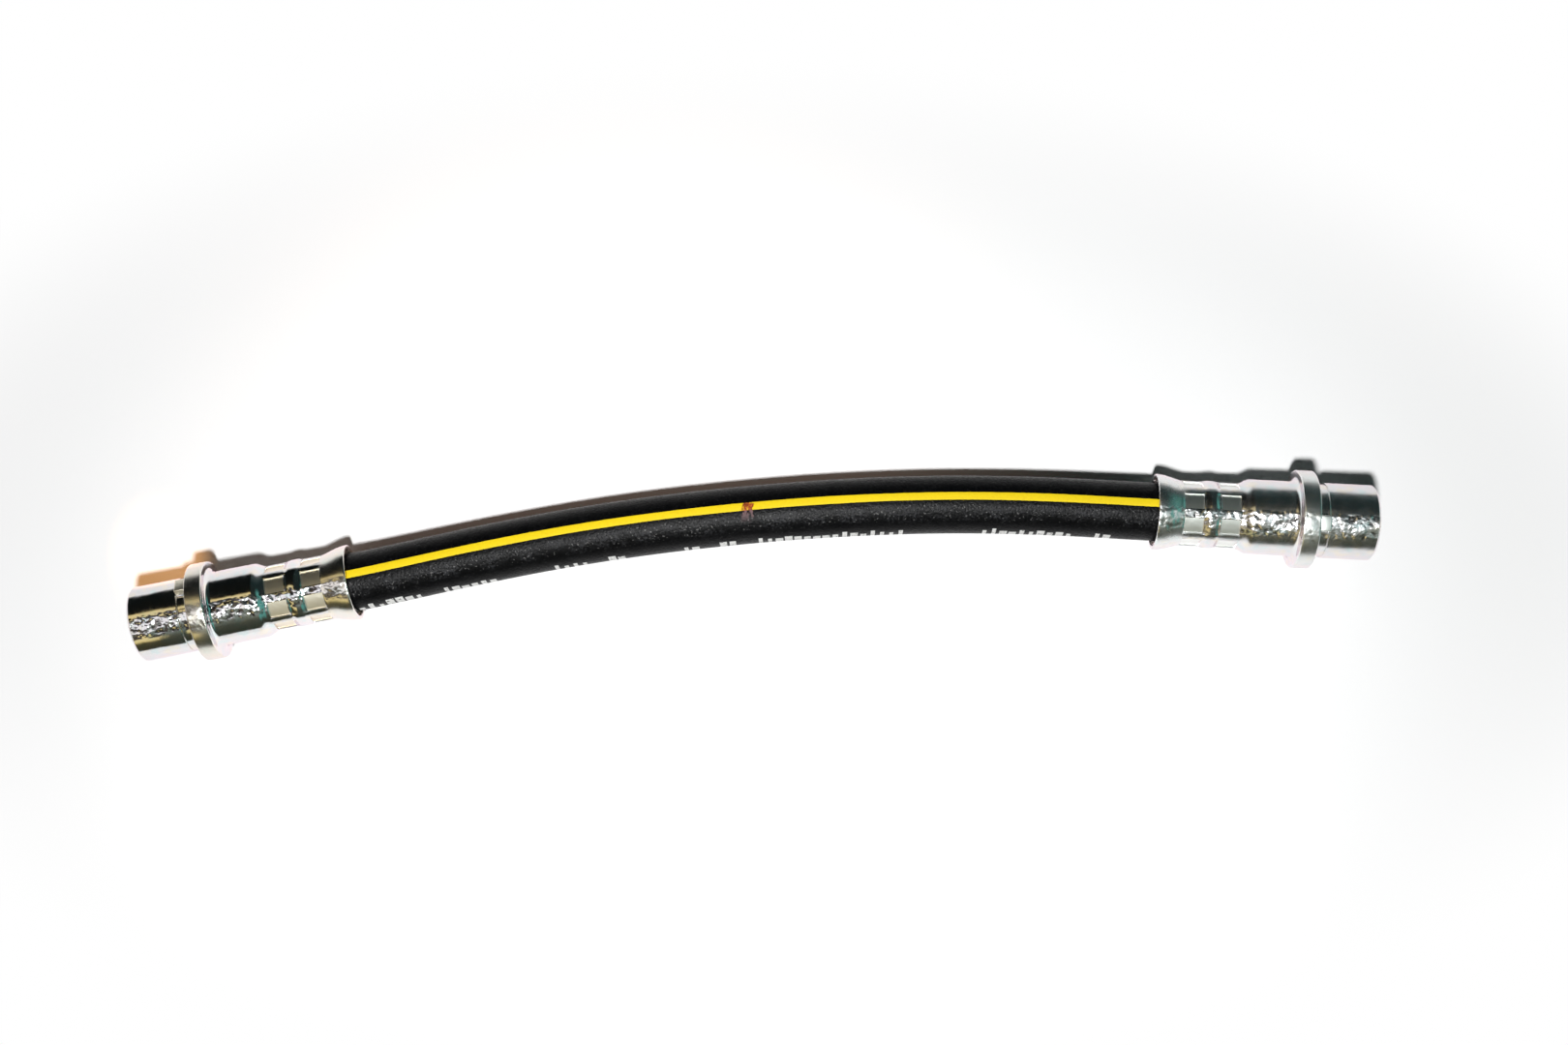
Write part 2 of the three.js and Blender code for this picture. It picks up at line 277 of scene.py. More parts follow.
class NodeSheet:
    """A node tree, with short ways to add to it."""

    def __init__(self, tree: bpy.types.NodeTree) -> None:
        """Takes the tree of a material or of the world."""
        self.tree = tree

    def feed(self, socket: Socket, value: Feed) -> None:
        """Links a socket, or sets its own value.

        Args:
            socket: the input to feed.
            value: another node's output, or a number, colour or vector.
        """
        if isinstance(value, Socket):
            self.tree.links.new(value, socket)
        elif isinstance(value, tuple) and socket.type == "RGBA":
            socket.default_value = (*value, 1.0)
        else:
            socket.default_value = value

    def add(self, kind: str, **settings: object) -> bpy.types.Node:
        """Adds a node and sets its properties.

        Args:
            kind: the node's type.
            settings: its properties.

        Returns:
            The node.
        """
        node = self.tree.nodes.new(kind)
        for name, value in settings.items():
            setattr(node, name, value)
        return node

    def math(self, operation: str, *values: Feed) -> Socket:
        """Adds a Math node on one to three values.

        Args:
            operation: what the node does.
            values: what it works on.

        Returns:
            The result.
        """
        node = self.add("ShaderNodeMath", operation=operation)
        for socket, value in zip(node.inputs, values):
            self.feed(socket, value)
        return node.outputs["Value"]

    def times(self, *values: Feed) -> Socket:
        """The product of two or more values.

        Args:
            values: what is multiplied.

        Returns:
            The product.
        """
        product = values[0]
        for value in values[1:]:
            product = self.math("MULTIPLY", product, value)
        return product

    def plus(self, first: Feed, second: Feed) -> Socket:
        """The sum of two values."""
        return self.math("ADD", first, second)

    def minus(self, first: Feed, second: Feed) -> Socket:
        """The first value less the second."""
        return self.math("SUBTRACT", first, second)

    def most(self, first: Feed, second: Feed) -> Socket:
        """The greater of two values."""
        return self.math("MAXIMUM", first, second)

    def object_place(self) -> Socket:
        """The place of a point in the object's own frame."""
        return self.add("ShaderNodeTexCoord").outputs["Object"]

    def turned_place(self, place_on_axis: Matrix) -> Socket:
        """The place of a point in a turned piece's own frame, with its axis on Z.

        Args:
            place_on_axis: takes the piece's own frame to where it lies.

        Returns:
            The place.
        """
        node = self.add("ShaderNodeMapping", vector_type="TEXTURE")
        self.feed(node.inputs["Vector"], self.object_place())
        node.inputs["Location"].default_value = place_on_axis.to_translation()
        node.inputs["Rotation"].default_value = place_on_axis.to_euler("XYZ")
        return node.outputs["Vector"]

    def hose_map(self) -> tuple[Socket, Socket]:
        """The turn round the hose and the share of its length, both from 0 to 1."""
        node = self.add("ShaderNodeUVMap", uv_map=HOSE_MAP)
        return self.split(node.outputs["UV"])[:2]

    def split(self, vector: Socket) -> tuple[Socket, ...]:
        """The X, Y and Z of a vector.

        Args:
            vector: the vector to split.

        Returns:
            Its three parts.
        """
        node = self.add("ShaderNodeSeparateXYZ")
        self.feed(node.inputs["Vector"], vector)
        return tuple(node.outputs)

    def combine(self, x: Feed, y: Feed, z: Feed) -> Socket:
        """A vector from its three parts.

        Args:
            x: the first part.
            y: the second part.
            z: the third part.

        Returns:
            The vector.
        """
        node = self.add("ShaderNodeCombineXYZ")
        for socket, value in zip(node.inputs, (x, y, z)):
            self.feed(socket, value)
        return node.outputs["Vector"]

    def noise(self, place: Socket, grain: float, detail: float = 2.0) -> Socket:
        """Soft noise around 0.5.

        Args:
            place: the point that the noise is read at.
            grain: the size of its blotches.
            detail: how many finer layers are added.

        Returns:
            The noise's value.
        """
        node = self.add("ShaderNodeTexNoise")
        self.feed(node.inputs["Vector"], place)
        self.feed(node.inputs["Scale"], 1.0 / grain)
        self.feed(node.inputs["Detail"], detail)
        return node.outputs["Fac"]

    def ease(self, value: Feed, low: float, high: float, start: Feed = 0.0, stop: Feed = 1.0) -> Socket:
        """Rises smoothly from start to stop while the value goes from low to high.

        Args:
            value: what is read.
            low: where the rise begins.
            high: where it ends.
            start: the result up to low.
            stop: the result from high on.

        Returns:
            The result.
        """
        node = self.add("ShaderNodeMapRange", interpolation_type="SMOOTHSTEP")
        for socket, given in zip(node.inputs, (value, low, high, start, stop)):
            self.feed(socket, given)
        return node.outputs["Result"]

    def blend(self, share: Feed, first: Feed, second: Feed) -> Socket:
        """A colour between two, by a share.

        Args:
            share: how much there is of the second, from 0 to 1.
            first: the colour at 0.
            second: the colour at 1.

        Returns:
            The colour.
        """
        node = self.add("ShaderNodeMix", data_type="RGBA")
        self.feed(node.inputs["Factor"], share)
        self.feed(node.inputs[6], first)
        self.feed(node.inputs[7], second)
        return node.outputs[2]

    def bump(self, *layers: tuple[Feed, float]) -> Socket:
        """A normal from one or more heights.

        Args:
            layers: each height, from 0 to 1, with what a height of 1 measures, the coarsest first.

        Returns:
            The normal.
        """
        normal: Optional[Socket] = None
        for height, depth in layers:
            node = self.add("ShaderNodeBump")
            self.feed(node.inputs["Strength"], 1.0)
            self.feed(node.inputs["Distance"], depth)
            self.feed(node.inputs["Height"], height)
            if normal is not None:
                self.feed(node.inputs["Normal"], normal)
            normal = node.outputs["Normal"]
        return normal


class FinishSheet(NodeSheet):
    """The node tree of a new material with one Principled shader."""

    def __init__(self, name: str) -> None:
        """Starts the material.

        Args:
            name: the material's name.
        """
        self.material = bpy.data.materials.new(name)
        self.material.use_nodes = True
        super().__init__(self.material.node_tree)
        self.shader = self.tree.nodes["Principled BSDF"]

    def set(self, **values: Feed) -> None:
        """Feeds the shader's sockets, named with underscores for spaces."""
        for name, value in values.items():
            self.feed(self.shader.inputs[name.replace("_", " ")], value)


@dataclass(frozen=True)
class CoverRubber:
    """Black outer rubber with a fine wrapped grain, dust and pale specks that are partly painted highlight,
    and a worn row of printed dashes.

    The dust and the dashes are placed in degrees from the top of the hose. The dust and its pale specks lie
    mainly in the band where the softbox's highlight falls, so they are partly real dust and partly painted
    highlight.
    """

    black: Colour = (0.0010, 0.0012, 0.0016)
    dusty_highlight: Colour = (0.030, 0.031, 0.034)
    highlight_speck_white: Colour = (0.45, 0.45, 0.44)
    highlight_speck_share: float = 0.22
    print_white: Colour = (0.80, 0.80, 0.78)
    ink_rose: Colour = (0.34, 0.20, 0.21)
    ink_share: float = 0.6
    gloss: float = 0.37
    specular: float = 0.11
    highlight_dust_from: Point2 = (-38.0, -24.0)
    dust_outside_highlight: float = 0.1
    dashes_from: float = -97.0
    dashes_to: float = -55.0
    dashes_vary: float = 13.0
    dashes_edge: float = 1.0
    dash_pitch: float = 1.7 * MM
    dash_gap: Point2 = (0.12 * MM, 0.45 * MM)
    dash_edge: float = 0.08 * MM
    group_pitch: float = 3.4 * MM
    group_chance: float = 0.46

    def material(self, hose_length: float) -> Material:
        """Makes the rubber.

        Args:
            hose_length: the length that the hose's map runs over.

        Returns:
            The material.
        """
        sheet = FinishSheet("cover_rubber")
        place = sheet.object_place()
        turn, along = sheet.hose_map()
        degrees = sheet.times(sheet.minus(turn, 1.0), 360.0)
        blotches = sheet.noise(place, 3.2 * MM, 3.0)
        grain = sheet.noise(place, 0.42 * MM, 3.0)
        fine = sheet.noise(place, 0.17 * MM, 1.0)
        # Painted highlight: the lighter dust and the pale specks sit mainly in the band beside the top that
        # faces the softbox, where its highlight falls; partly real dust.
        highlight_band = sheet.ease(degrees, *self.highlight_dust_from, self.dust_outside_highlight, 1.0)
        dust_and_highlight = sheet.times(sheet.ease(blotches, 0.4, 0.65), sheet.ease(grain, 0.42, 0.68), highlight_band)
        highlight_specks = sheet.ease(sheet.noise(place, 0.36 * MM, 0.0), 0.70, 0.80)
        highlight_specks = sheet.times(highlight_specks, highlight_band, self.highlight_speck_share)
        ink = sheet.times(InkMark().on_rubber(sheet, place), self.ink_share)
        printed = self.dashes(sheet, degrees, along, grain, hose_length)
        colour = sheet.blend(dust_and_highlight, self.black, self.dusty_highlight)
        for share, over in ((highlight_specks, self.highlight_speck_white), (ink, self.ink_rose), (printed, self.print_white)):
            colour = sheet.blend(share, colour, over)
        normal = sheet.bump((blotches, 0.10 * MM), (grain, 0.10 * MM), (fine, 0.008 * MM))
        sheet.set(Base_Color=colour, Normal=normal, Specular_IOR_Level=self.specular)
        sheet.set(Roughness=sheet.ease(grain, 0.3, 0.7, self.gloss - 0.06, self.gloss + 0.12))
        return sheet.material

    def dashes(
        self, sheet: NodeSheet, degrees: Socket, along: Socket, grain: Socket, hose_length: float
    ) -> Socket:
        """Where the row of plain dashes is printed.

        Args:
            sheet: the material's nodes.
            degrees: the turn from the top of the hose, from -360 to 0.
            along: the share of its length.
            grain: the noise that wears the print.
            hose_length: the length that the map runs over.

        Returns:
            The share of print, from 0 to 1.
        """
        distance = sheet.times(along, hose_length)
        low = sheet.ease(degrees, self.dashes_from - self.dashes_edge, self.dashes_from + self.dashes_edge)
        tall = sheet.times(self.chance(sheet, distance, self.dash_pitch, 7.0), self.dashes_vary)
        top = (self.dashes_to - self.dashes_edge, self.dashes_to + self.dashes_edge)
        high = sheet.ease(sheet.plus(degrees, tall), *top, 1.0, 0.0)
        gap = sheet.ease(self.chance(sheet, distance, self.dash_pitch), 0.2, 0.8, *self.dash_gap)
        over = sheet.minus(sheet.math("PINGPONG", distance, self.dash_pitch / 2), gap)
        dash = sheet.ease(over, 0.0, self.dash_edge)
        group = sheet.math("GREATER_THAN", self.chance(sheet, distance, self.group_pitch), self.group_chance)
        return sheet.times(low, high, dash, group, sheet.ease(grain, 0.30, 0.42))

    def chance(self, sheet: NodeSheet, distance: Socket, pitch: float, seed: float = 0.0) -> Socket:
        """A value from 0 to 1 that is new in each stretch of the hose as long as the pitch.

        Args:
            sheet: the material's nodes.
            distance: how far along the hose a point is.
            pitch: the length of a stretch.
            seed: sets one row of chances apart from another.

        Returns:
            The value.
        """
        stretch = sheet.plus(sheet.math("FLOOR", sheet.math("DIVIDE", distance, pitch)), seed + 0.5)
        node = sheet.add("ShaderNodeTexWhiteNoise", noise_dimensions="1D")
        sheet.feed(node.inputs["W"], stretch)
        return node.outputs["Value"]


@dataclass(frozen=True)
class InkMark:
    """A smudged mark of brown ink across the stripe, near the middle of the hose."""

    middle: float = -1.1 * MM
    half_width: float = 1.15 * MM
    stripe_side: float = 10.2 * MM
    lowest: float = 7.4 * MM
    raggedness: float = 1.6 * MM
    bare_stripe: float = 0.30
    bare_rubber: float = 0.42

    def streaks(self, sheet: NodeSheet, place: Socket, bare: float) -> Socket:
        """The mark's brush streaks, which run across the hose.

        Args:
            sheet: the material's nodes.
            place: where a point is.
            bare: how much shows between the streaks, from 0 to 1.

        Returns:
            1 in the ink and 0 outside it.
        """
        x, y, z = sheet.split(place)
        stretched = sheet.combine(x, sheet.times(y, 0.25), z)
        rough = sheet.noise(stretched, 0.45 * MM, 2.0)
        ragged = sheet.minus(sheet.noise(place, 0.7 * MM, 1.0), 0.5)
        offset = sheet.math("ABSOLUTE", sheet.minus(x, self.middle))
        offset = sheet.plus(offset, sheet.times(ragged, self.raggedness))
        inside = sheet.ease(offset, self.half_width * 0.7, self.half_width, 1.0, 0.0)
        return sheet.times(inside, sheet.ease(rough, bare, bare + 0.16))

    def on_rubber(self, sheet: NodeSheet, place: Socket) -> Socket:
        """Where the mark lies on the rubber below the stripe.

        Args:
            sheet: the material's nodes.
            place: where a point is.

        Returns:
            The share of ink, from 0 to 1.
        """
        y = sheet.split(place)[1]
        below = sheet.ease(y, self.lowest, self.stripe_side)
        above = sheet.ease(y, self.stripe_side, self.stripe_side + 0.5 * MM, 1.0, 0.0)
        return sheet.times(below, above, self.streaks(sheet, place, self.bare_rubber))


@dataclass(frozen=True)
class StripeInk:
    """The bright yellow stripe, with the brown ink mark across it."""

    yellow: Colour = (0.90, 0.68, 0.008)
    worn: Colour = (0.86, 0.63, 0.007)
    brown: Colour = (0.55, 0.13, 0.015)
    dark_brown: Colour = (0.22, 0.040, 0.010)

    def material(self) -> Material:
        """Makes the stripe's material.

        Returns:
            The material.
        """
        sheet = FinishSheet("stripe_ink")
        place = sheet.object_place()
        grain = sheet.noise(place, 0.5 * MM, 3.0)
        colour = sheet.blend(sheet.ease(grain, 0.35, 0.75), self.yellow, self.worn)
        patchy = sheet.ease(sheet.noise(place, 0.4 * MM, 1.0), 0.4, 0.6)
        ink = sheet.blend(patchy, self.brown, self.dark_brown)
        mark = InkMark()
        colour = sheet.blend(mark.streaks(sheet, place, mark.bare_stripe), colour, ink)
        sheet.set(Base_Color=colour, Normal=sheet.bump((grain, 0.02 * MM)), Specular_IOR_Level=0.4)
        sheet.set(Roughness=sheet.ease(grain, 0.3, 0.7, 0.42, 0.55))
        return sheet.material


@dataclass(frozen=True)
class PlainRubber:
    """Black rubber of the liner and of the cushion between the braids."""

    name: str
    dark: Colour = (0.020, 0.019, 0.018)
    pale: Colour = (0.034, 0.032, 0.030)

    def material(self) -> Material:
        """Makes the rubber.

        Returns:
            The material.
        """
        sheet = FinishSheet(self.name)
        place = sheet.object_place()
        grain = sheet.noise(place, 0.6 * MM, 3.0)
        sheet.set(Base_Color=sheet.blend(sheet.ease(grain, 0.35, 0.7), self.dark, self.pale))
        sheet.set(Roughness=sheet.ease(grain, 0.3, 0.7, 0.55, 0.7), Normal=sheet.bump((grain, 0.02 * MM)))
        return sheet.material


@dataclass(frozen=True)
class BraidYarn:
    """Off-white yarn, braided over and under in two crossing directions, with painted shade where the yarn
    dips under and lighter crowns.
    """

    name: str
    carriers: int
    crossings: int = 74
    light: Colour = (0.70, 0.66, 0.54)
    shade: Colour = (0.34, 0.30, 0.22)

    def material(self) -> Material:
        """Makes the braid.

        Returns:
            The material.
        """
        sheet = FinishSheet(self.name)
        turn, along = sheet.hose_map()
        turns = sheet.times(turn, float(self.carriers))
        runs = sheet.times(along, float(self.crossings))
        left = sheet.math("PINGPONG", sheet.plus(turns, runs), 0.5)
        right = sheet.math("PINGPONG", sheet.minus(turns, runs), 0.5)
        height = sheet.most(left, right)
        fuzz = sheet.noise(sheet.object_place(), 0.12 * MM, 2.0)
        # Painted shade: the yarn is darker where it dips under the crossing yarn and lighter on its crowns.
        lit = sheet.plus(sheet.ease(height, 0.25, 0.5, 0.0, 0.8), sheet.times(fuzz, 0.3))
        normal = sheet.bump((height, 0.12 * MM), (fuzz, 0.03 * MM))
        sheet.set(Base_Color=sheet.blend(lit, self.shade, self.light), Normal=normal)
        sheet.set(Roughness=0.9, Sheen_Weight=0.3)
        return sheet.material


@dataclass(frozen=True)
class DullPatch:
    """A duller patch of a turned piece, such as its jaw marks.

    Attributes:
        low: its least height on the axis.
        high: its most height.
        inner: its least radius.
        outer: its most radius.
        dullness: how dull it is, up to 1.
    """

    low: float
    high: float
    inner: float
    outer: float
    dullness: float = 1.0

    def share(self, sheet: NodeSheet, radius: Socket, z: Socket) -> Socket:
        """The patch's dullness in it, and 0 outside it.

        Args:
            sheet: the material's nodes.
            radius: a point's distance from the axis.
            z: its height on the axis.

        Returns:
            The share.
        """
        total: Feed = self.dullness
        for value, start, stop in ((z, self.low, self.high), (radius, self.inner, self.outer)):
            rise = sheet.ease(value, start - PATCH_EDGE, start + PATCH_EDGE)
            fall = sheet.ease(value, stop - PATCH_EDGE, stop + PATCH_EDGE, 1.0, 0.0)
            total = sheet.times(total, rise, fall)
        return total


@dataclass(frozen=True)
class ZincPlate:
    """Bright zinc plate over turned steel: mottled, with turning lines and faint tints.

    The scuffed zone is placed in degrees from the top, towards the front. It is the band that faces the
    softbox, and its dark pits are painted only there: partly real pitting, partly painted speckle in the
    highlight.
    """

    name: str
    gloss: float
    lit_scuff_to: float
    silver: Colour = (0.80, 0.80, 0.80)
    cream: Colour = (0.84, 0.81, 0.73)
    sea: Colour = (0.72, 0.80, 0.80)
    edge_tint: Colour = (1.0, 0.86, 0.92)
    pit_shade_dark: Colour = (0.16, 0.15, 0.14)
    pit_shade_edge: Point2 = (0.36, 0.44)
    pit_shade_share: float = 0.85
    pressed_gloss: float = 0.34
    pressed_tint: Colour = (0.86, 0.90, 0.86)
    pressed_scuff: float = 0.12
    calm: float = 0.03
    swell_depth: float = 0.045 * MM
    dent_depth: float = 0.44 * MM
    ring_depth: float = 0.002 * MM
    lit_scuff_from: float = -8.0
    lit_scuff_fade: float = 6.0
    lit_scuff_rise: float = 4.0

    def material(self, place_on_axis: Matrix, front: float, patches: list[DullPatch]) -> Material:
        """Makes the plate.

        Args:
            place_on_axis: takes the fitting's own frame, with its axis on Z, to where the fitting lies.
            front: 1 where the frame's +Y is the front, and -1 where it is the back.
            patches: where the metal is dull, as in the jaw marks.

        Returns:
            The material.
        """
        sheet = FinishSheet(self.name)
        place = sheet.turned_place(place_on_axis)
        x, y, z = sheet.split(place)
        radius = sheet.math("SQRT", sheet.plus(sheet.times(x, x), sheet.times(y, y)))
        turn = sheet.math("DEGREES", sheet.math("ARCTAN2", sheet.times(y, front), x))
        pressed: Feed = 0.0
        for patch in patches:
            pressed = sheet.most(pressed, patch.share(sheet, radius, z))
        begins = sheet.ease(turn, self.lit_scuff_from - self.lit_scuff_fade, self.lit_scuff_from + self.lit_scuff_rise)
        ends = sheet.ease(turn, self.lit_scuff_to - self.lit_scuff_fade, self.lit_scuff_to + self.lit_scuff_fade, 1.0, 0.0)
        scuffed_lit_band = sheet.times(begins, ends)
        swell = sheet.noise(place, 3.4 * MM, 2.0)
        mottle = sheet.noise(place, 1.5 * MM, 1.6)
        rings = sheet.noise(sheet.combine(0.0, 0.0, z), 0.14 * MM, 2.0)
        tint = sheet.noise(place, 1.7 * MM, 2.0)
        bluish = sheet.ease(tint, 0.48, 0.32)
        # Painted shade: dark pits only in the band facing the softbox, speckling its highlight; partly real
        # pitting of the zinc.
        pit_shade = sheet.times(sheet.ease(mottle, *self.pit_shade_edge, self.pit_shade_share, 0.0), scuffed_lit_band)
        colour = sheet.blend(sheet.ease(tint, 0.52, 0.70), self.silver, self.cream)
        for share, over in ((bluish, self.sea), (pit_shade, self.pit_shade_dark), (pressed, self.pressed_tint)):
            colour = sheet.blend(share, colour, over)
        depth = sheet.times(scuffed_lit_band, sheet.ease(pressed, 0.0, 1.0, 1.0, self.pressed_scuff))
        depth = sheet.ease(depth, 0.0, 1.0, self.calm, 1.0)
        dents = sheet.times(sheet.minus(mottle, 0.5), depth)
        normal = sheet.bump((swell, self.swell_depth), (dents, self.dent_depth), (rings, self.ring_depth))
        sheet.set(Base_Color=colour, Metallic=1.0, Specular_Tint=self.edge_tint, Normal=normal)
        polished = sheet.ease(mottle, 0.35, 0.7, self.gloss, self.gloss + 0.05)
        sheet.set(Roughness=sheet.ease(pressed, 0.0, 1.0, polished, self.pressed_gloss))
        return sheet.material


PLATES = {
    End.LEFT: ZincPlate("left_zinc_plate", gloss=0.10, lit_scuff_to=21.0, pressed_tint=(0.86, 0.82, 0.68)),
    End.RIGHT: ZincPlate("right_zinc_plate", gloss=0.21, lit_scuff_to=30.0),
}


@dataclass(frozen=True)
class TurnedSteel:
    """Plain turned steel of the insert, with fine rings."""

    name: str
    grey: Colour = (0.50, 0.50, 0.51)
    dull: Colour = (0.38, 0.37, 0.36)

    def material(self, place_on_axis: Matrix) -> Material:
        """Makes the steel, its rings round the given axis.

        Args:
            place_on_axis: takes the insert's own frame, with its axis on Z, to where it lies.

        Returns:
            The material.
        """
        sheet = FinishSheet(self.name)
        place = sheet.turned_place(place_on_axis)
        z = sheet.split(place)[2]
        rings = sheet.noise(sheet.combine(0.0, 0.0, z), 0.09 * MM, 2.0)
        stain = sheet.noise(place, 0.8 * MM, 2.0)
        sheet.set(Base_Color=sheet.blend(sheet.ease(stain, 0.35, 0.7), self.grey, self.dull))
        sheet.set(Metallic=1.0, Roughness=sheet.ease(stain, 0.3, 0.7, 0.24, 0.4))
        sheet.set(Normal=sheet.bump((rings, 0.006 * MM)))
        return sheet.material


# The hose


class Centreline:
    """A smooth curve through the route's points, read by the distance along it."""

    STEPS = 40

    def __init__(self, route: list[Point3]) -> None:
        """Traces the curve through the route's points.

        Args:
            route: the points that the curve goes through.
        """
        self.knots = [Vector(point) for point in route]
        self.trace = self._trace()
        self.reached = [0.0]
        for before, after in zip(self.trace, self.trace[1:]):
            self.reached.append(self.reached[-1] + (after - before).length)
        self.length = self.reached[-1]

    def _trace(self) -> list[Vector]:
        """The curve as many short steps, with knots spaced by the root of their distance.

        Returns:
            The points between the steps.
        """
        first, last = self.knots[0], self.knots[-1]
        knots = [2 * first - self.knots[1], *self.knots, 2 * last - self.knots[-2]]
        line: list[Vector] = []
        for a, b, c, d in zip(knots, knots[1:], knots[2:], knots[3:]):
            before, middle, after = ((q - p).length ** 0.5 for p, q in ((a, b), (b, c), (c, d)))
            leave = ((b - a) / before - (c - a) / (before + middle) + (c - b) / middle) * middle
            arrive = ((c - b) / middle - (d - b) / (middle + after) + (d - c) / after) * middle
            for step in range(self.STEPS):
                t = step / self.STEPS
                square, cube = t * t, t * t * t
                line.append(
                    (2 * cube - 3 * square + 1) * b
                    + (cube - 2 * square + t) * leave
                    + (3 * square - 2 * cube) * c
                    + (cube - square) * arrive
                )
        return [*line, last]

    def at(self, distance: float) -> Vector:
        """The point at a distance from the start.

        Args:
            distance: how far along the curve the point is.

        Returns:
            The point.
        """
        distance = min(max(distance, 0.0), self.length)
        low, high = 0, len(self.reached) - 1
        while high - low > 1:
            middle = (low + high) // 2
            if self.reached[middle] <= distance:
                low = middle
            else:
                high = middle
        share = (distance - self.reached[low]) / (self.reached[high] - self.reached[low])
        return self.trace[low].lerp(self.trace[high], share)

    def cross_section(self, distance: float) -> tuple[Vector, Vector, Vector]:
        """The centre, the way up and the way sideways, towards +Y, at a distance.

        Args:
            distance: how far along the curve the section is.

        Returns:
            The centre, and the two directions.
        """
        ahead, behind = self.at(distance + 0.5 * MM), self.at(distance - 0.5 * MM)
        tangent = (ahead - behind).normalized()
        side = Vector((0, 0, 1)).cross(tangent).normalized()
        return self.at(distance), tangent.cross(side), side


@dataclass(frozen=True)
class HoseLayer:
    """One wall of the hose.

    Attributes:
        name: the piece's name.
        node: the CAD node that it stands for.
        inner: its inner radius.
        outer: its outer radius.
        material: its finish.
        slot: the name of its material slot, which is not used.
        columns: how many faces it has round it.
    """

    name: str
    node: str
    inner: float
    outer: float
    material: Material
    slot: str
    columns: int = 48


@dataclass
class Hose:
    """The rubber hose with its two braids and its yellow stripe, pressed thinner inside both fittings."""

    diameter: float = 10.5 * MM
    bore: float = 3.2 * MM
    crimped_diameter: float = 8.9 * MM
    liner_wall: float = 0.95 * MM
    braid_wall: float = 0.45 * MM
    cushion_wall: float = 0.4 * MM
    layer_gap: float = 0.05 * MM
    grip_length: float = 10.6 * MM
    relax_length: float = 2.2 * MM
    in_fitting: float = 15.3 * MM
    ring_pitch: float = 0.55 * MM
    stripe_angle: float = 16.5
    stripe_width: float = 1.4 * MM
    stripe_proud: float = 0.06 * MM
    stripe_hidden: float = 1.5 * MM
    stripe_columns: int = 6
    stripe_wavers: tuple[Point3, ...] = ((0.012, 3.1 * MM, 0.0), (0.010, 7.3 * MM, 1.0))

    def build(self, line: Centreline) -> None:
        """Args:
            line: the hose's centreline.
        """
        cover, *inner = [self.layer_piece(line, layer) for layer in self.layers(line)]
        stripe = self.stripe_piece(line)
        LOG.info("hose: %.1f mm long", line.length / MM)

    def layers(self, line: Centreline) -> list[HoseLayer]:
        """The walls of the hose, from the cover inwards.

        Args:
            line: the hose's centreline.

        Returns:
            The layers.
        """
        gap = self.layer_gap
        liner = self.bore / 2 + self.liner_wall
        inner_braid = liner + gap + self.braid_wall
        cushion = inner_braid + gap + self.cushion_wall
        outer_braid = cushion + gap + self.braid_wall
        cover = CoverRubber().material(line.length)
        outer_yarn = BraidYarn("outer_braid_yarn", carriers=14).material()
        inner_yarn = BraidYarn("inner_braid_yarn", carriers=10).material()
        soft = PlainRubber("cushion_rubber").material()
        bore = PlainRubber("liner_rubber").material()
        return [
            HoseLayer(
                "rubber_cover", "outer_cover", outer_braid + gap, self.diameter / 2, cover, "cover_rubber", 72
            ),
            HoseLayer(
                "outer_yarn_braid", "outer_braid", cushion + gap, outer_braid, outer_yarn, "braid_yarn"
            ),
            HoseLayer("rubber_cushion", "cushion_layer", inner_braid + gap, cushion, soft, "liner_rubber"),
            HoseLayer("inner_yarn_braid", "inner_braid", liner + gap, inner_braid, inner_yarn, "braid_yarn"),
            HoseLayer("rubber_liner", "inner_liner", self.bore / 2, liner, bore, "liner_rubber"),
        ]

    def stations(self, line: Centreline) -> list[float]:
        """Even distances along the hose, one for each ring of faces."""
        count = round(line.length / self.ring_pitch)
        return [line.length * index / count for index in range(count + 1)]

    def squeezed(self, line: Centreline, distance: float, radius: float) -> float:
        """The radius that is left of a layer's at this distance, past the crimps.

        Args:
            line: the hose's centreline.
            distance: how far along it the place is.
            radius: the radius before the crimp.

        Returns:
            The radius after it.
        """
        from_end = min(distance, line.length - distance)
        share = min(max((from_end - self.grip_length) / self.relax_length, 0.0), 1.0)
        share = share * share * (3 - 2 * share)
        inner = self.bore / 2
        least = (self.crimped_diameter / 2 - inner) / (self.diameter / 2 - inner)
        return inner + (radius - inner) * (least + (1 - least) * share)

    def ring(self, line: Centreline, distance: float, radius: float, angles: list[float]) -> list[Vector]:
        """The points of a ring round the centreline.

        Args:
            line: the hose's centreline.
            distance: how far along it the ring is.
            radius: its radius before the crimp.
            angles: radians from the top of the hose, towards +Y.

        Returns:
            One point for each angle.
        """
        centre, up, side = line.cross_section(distance)
        left = self.squeezed(line, distance, radius)
        return [centre + left * (math.cos(a) * up + math.sin(a) * side) for a in angles]

    def layer_piece(self, line: Centreline, layer: HoseLayer) -> Piece:
        """Sweeps one layer along the centreline, closes its two ends and maps it.

        Args:
            line: the hose's centreline.
            layer: the layer to make.

        Returns:
            The piece.
        """
        count = layer.columns
        angles = [math.tau * column / count for column in range(count)]
        stations = self.stations(line)
        points: list[Vector] = []
        for distance in stations:
            points += self.ring(line, distance, layer.outer, angles)
            points += self.ring(line, distance, layer.inner, angles)
        faces: list[tuple[int, ...]] = []
        maps: list[Point2] = []

        def add_face(corners: list[tuple[int, int, int]]) -> None:
            """Adds a face from corners given as station, column and wall."""
            faces.append(tuple(count * (2 * row + wall) + column % count for row, column, wall in corners))
            maps.extend((column / count, stations[row] / line.length) for row, column, wall in corners)

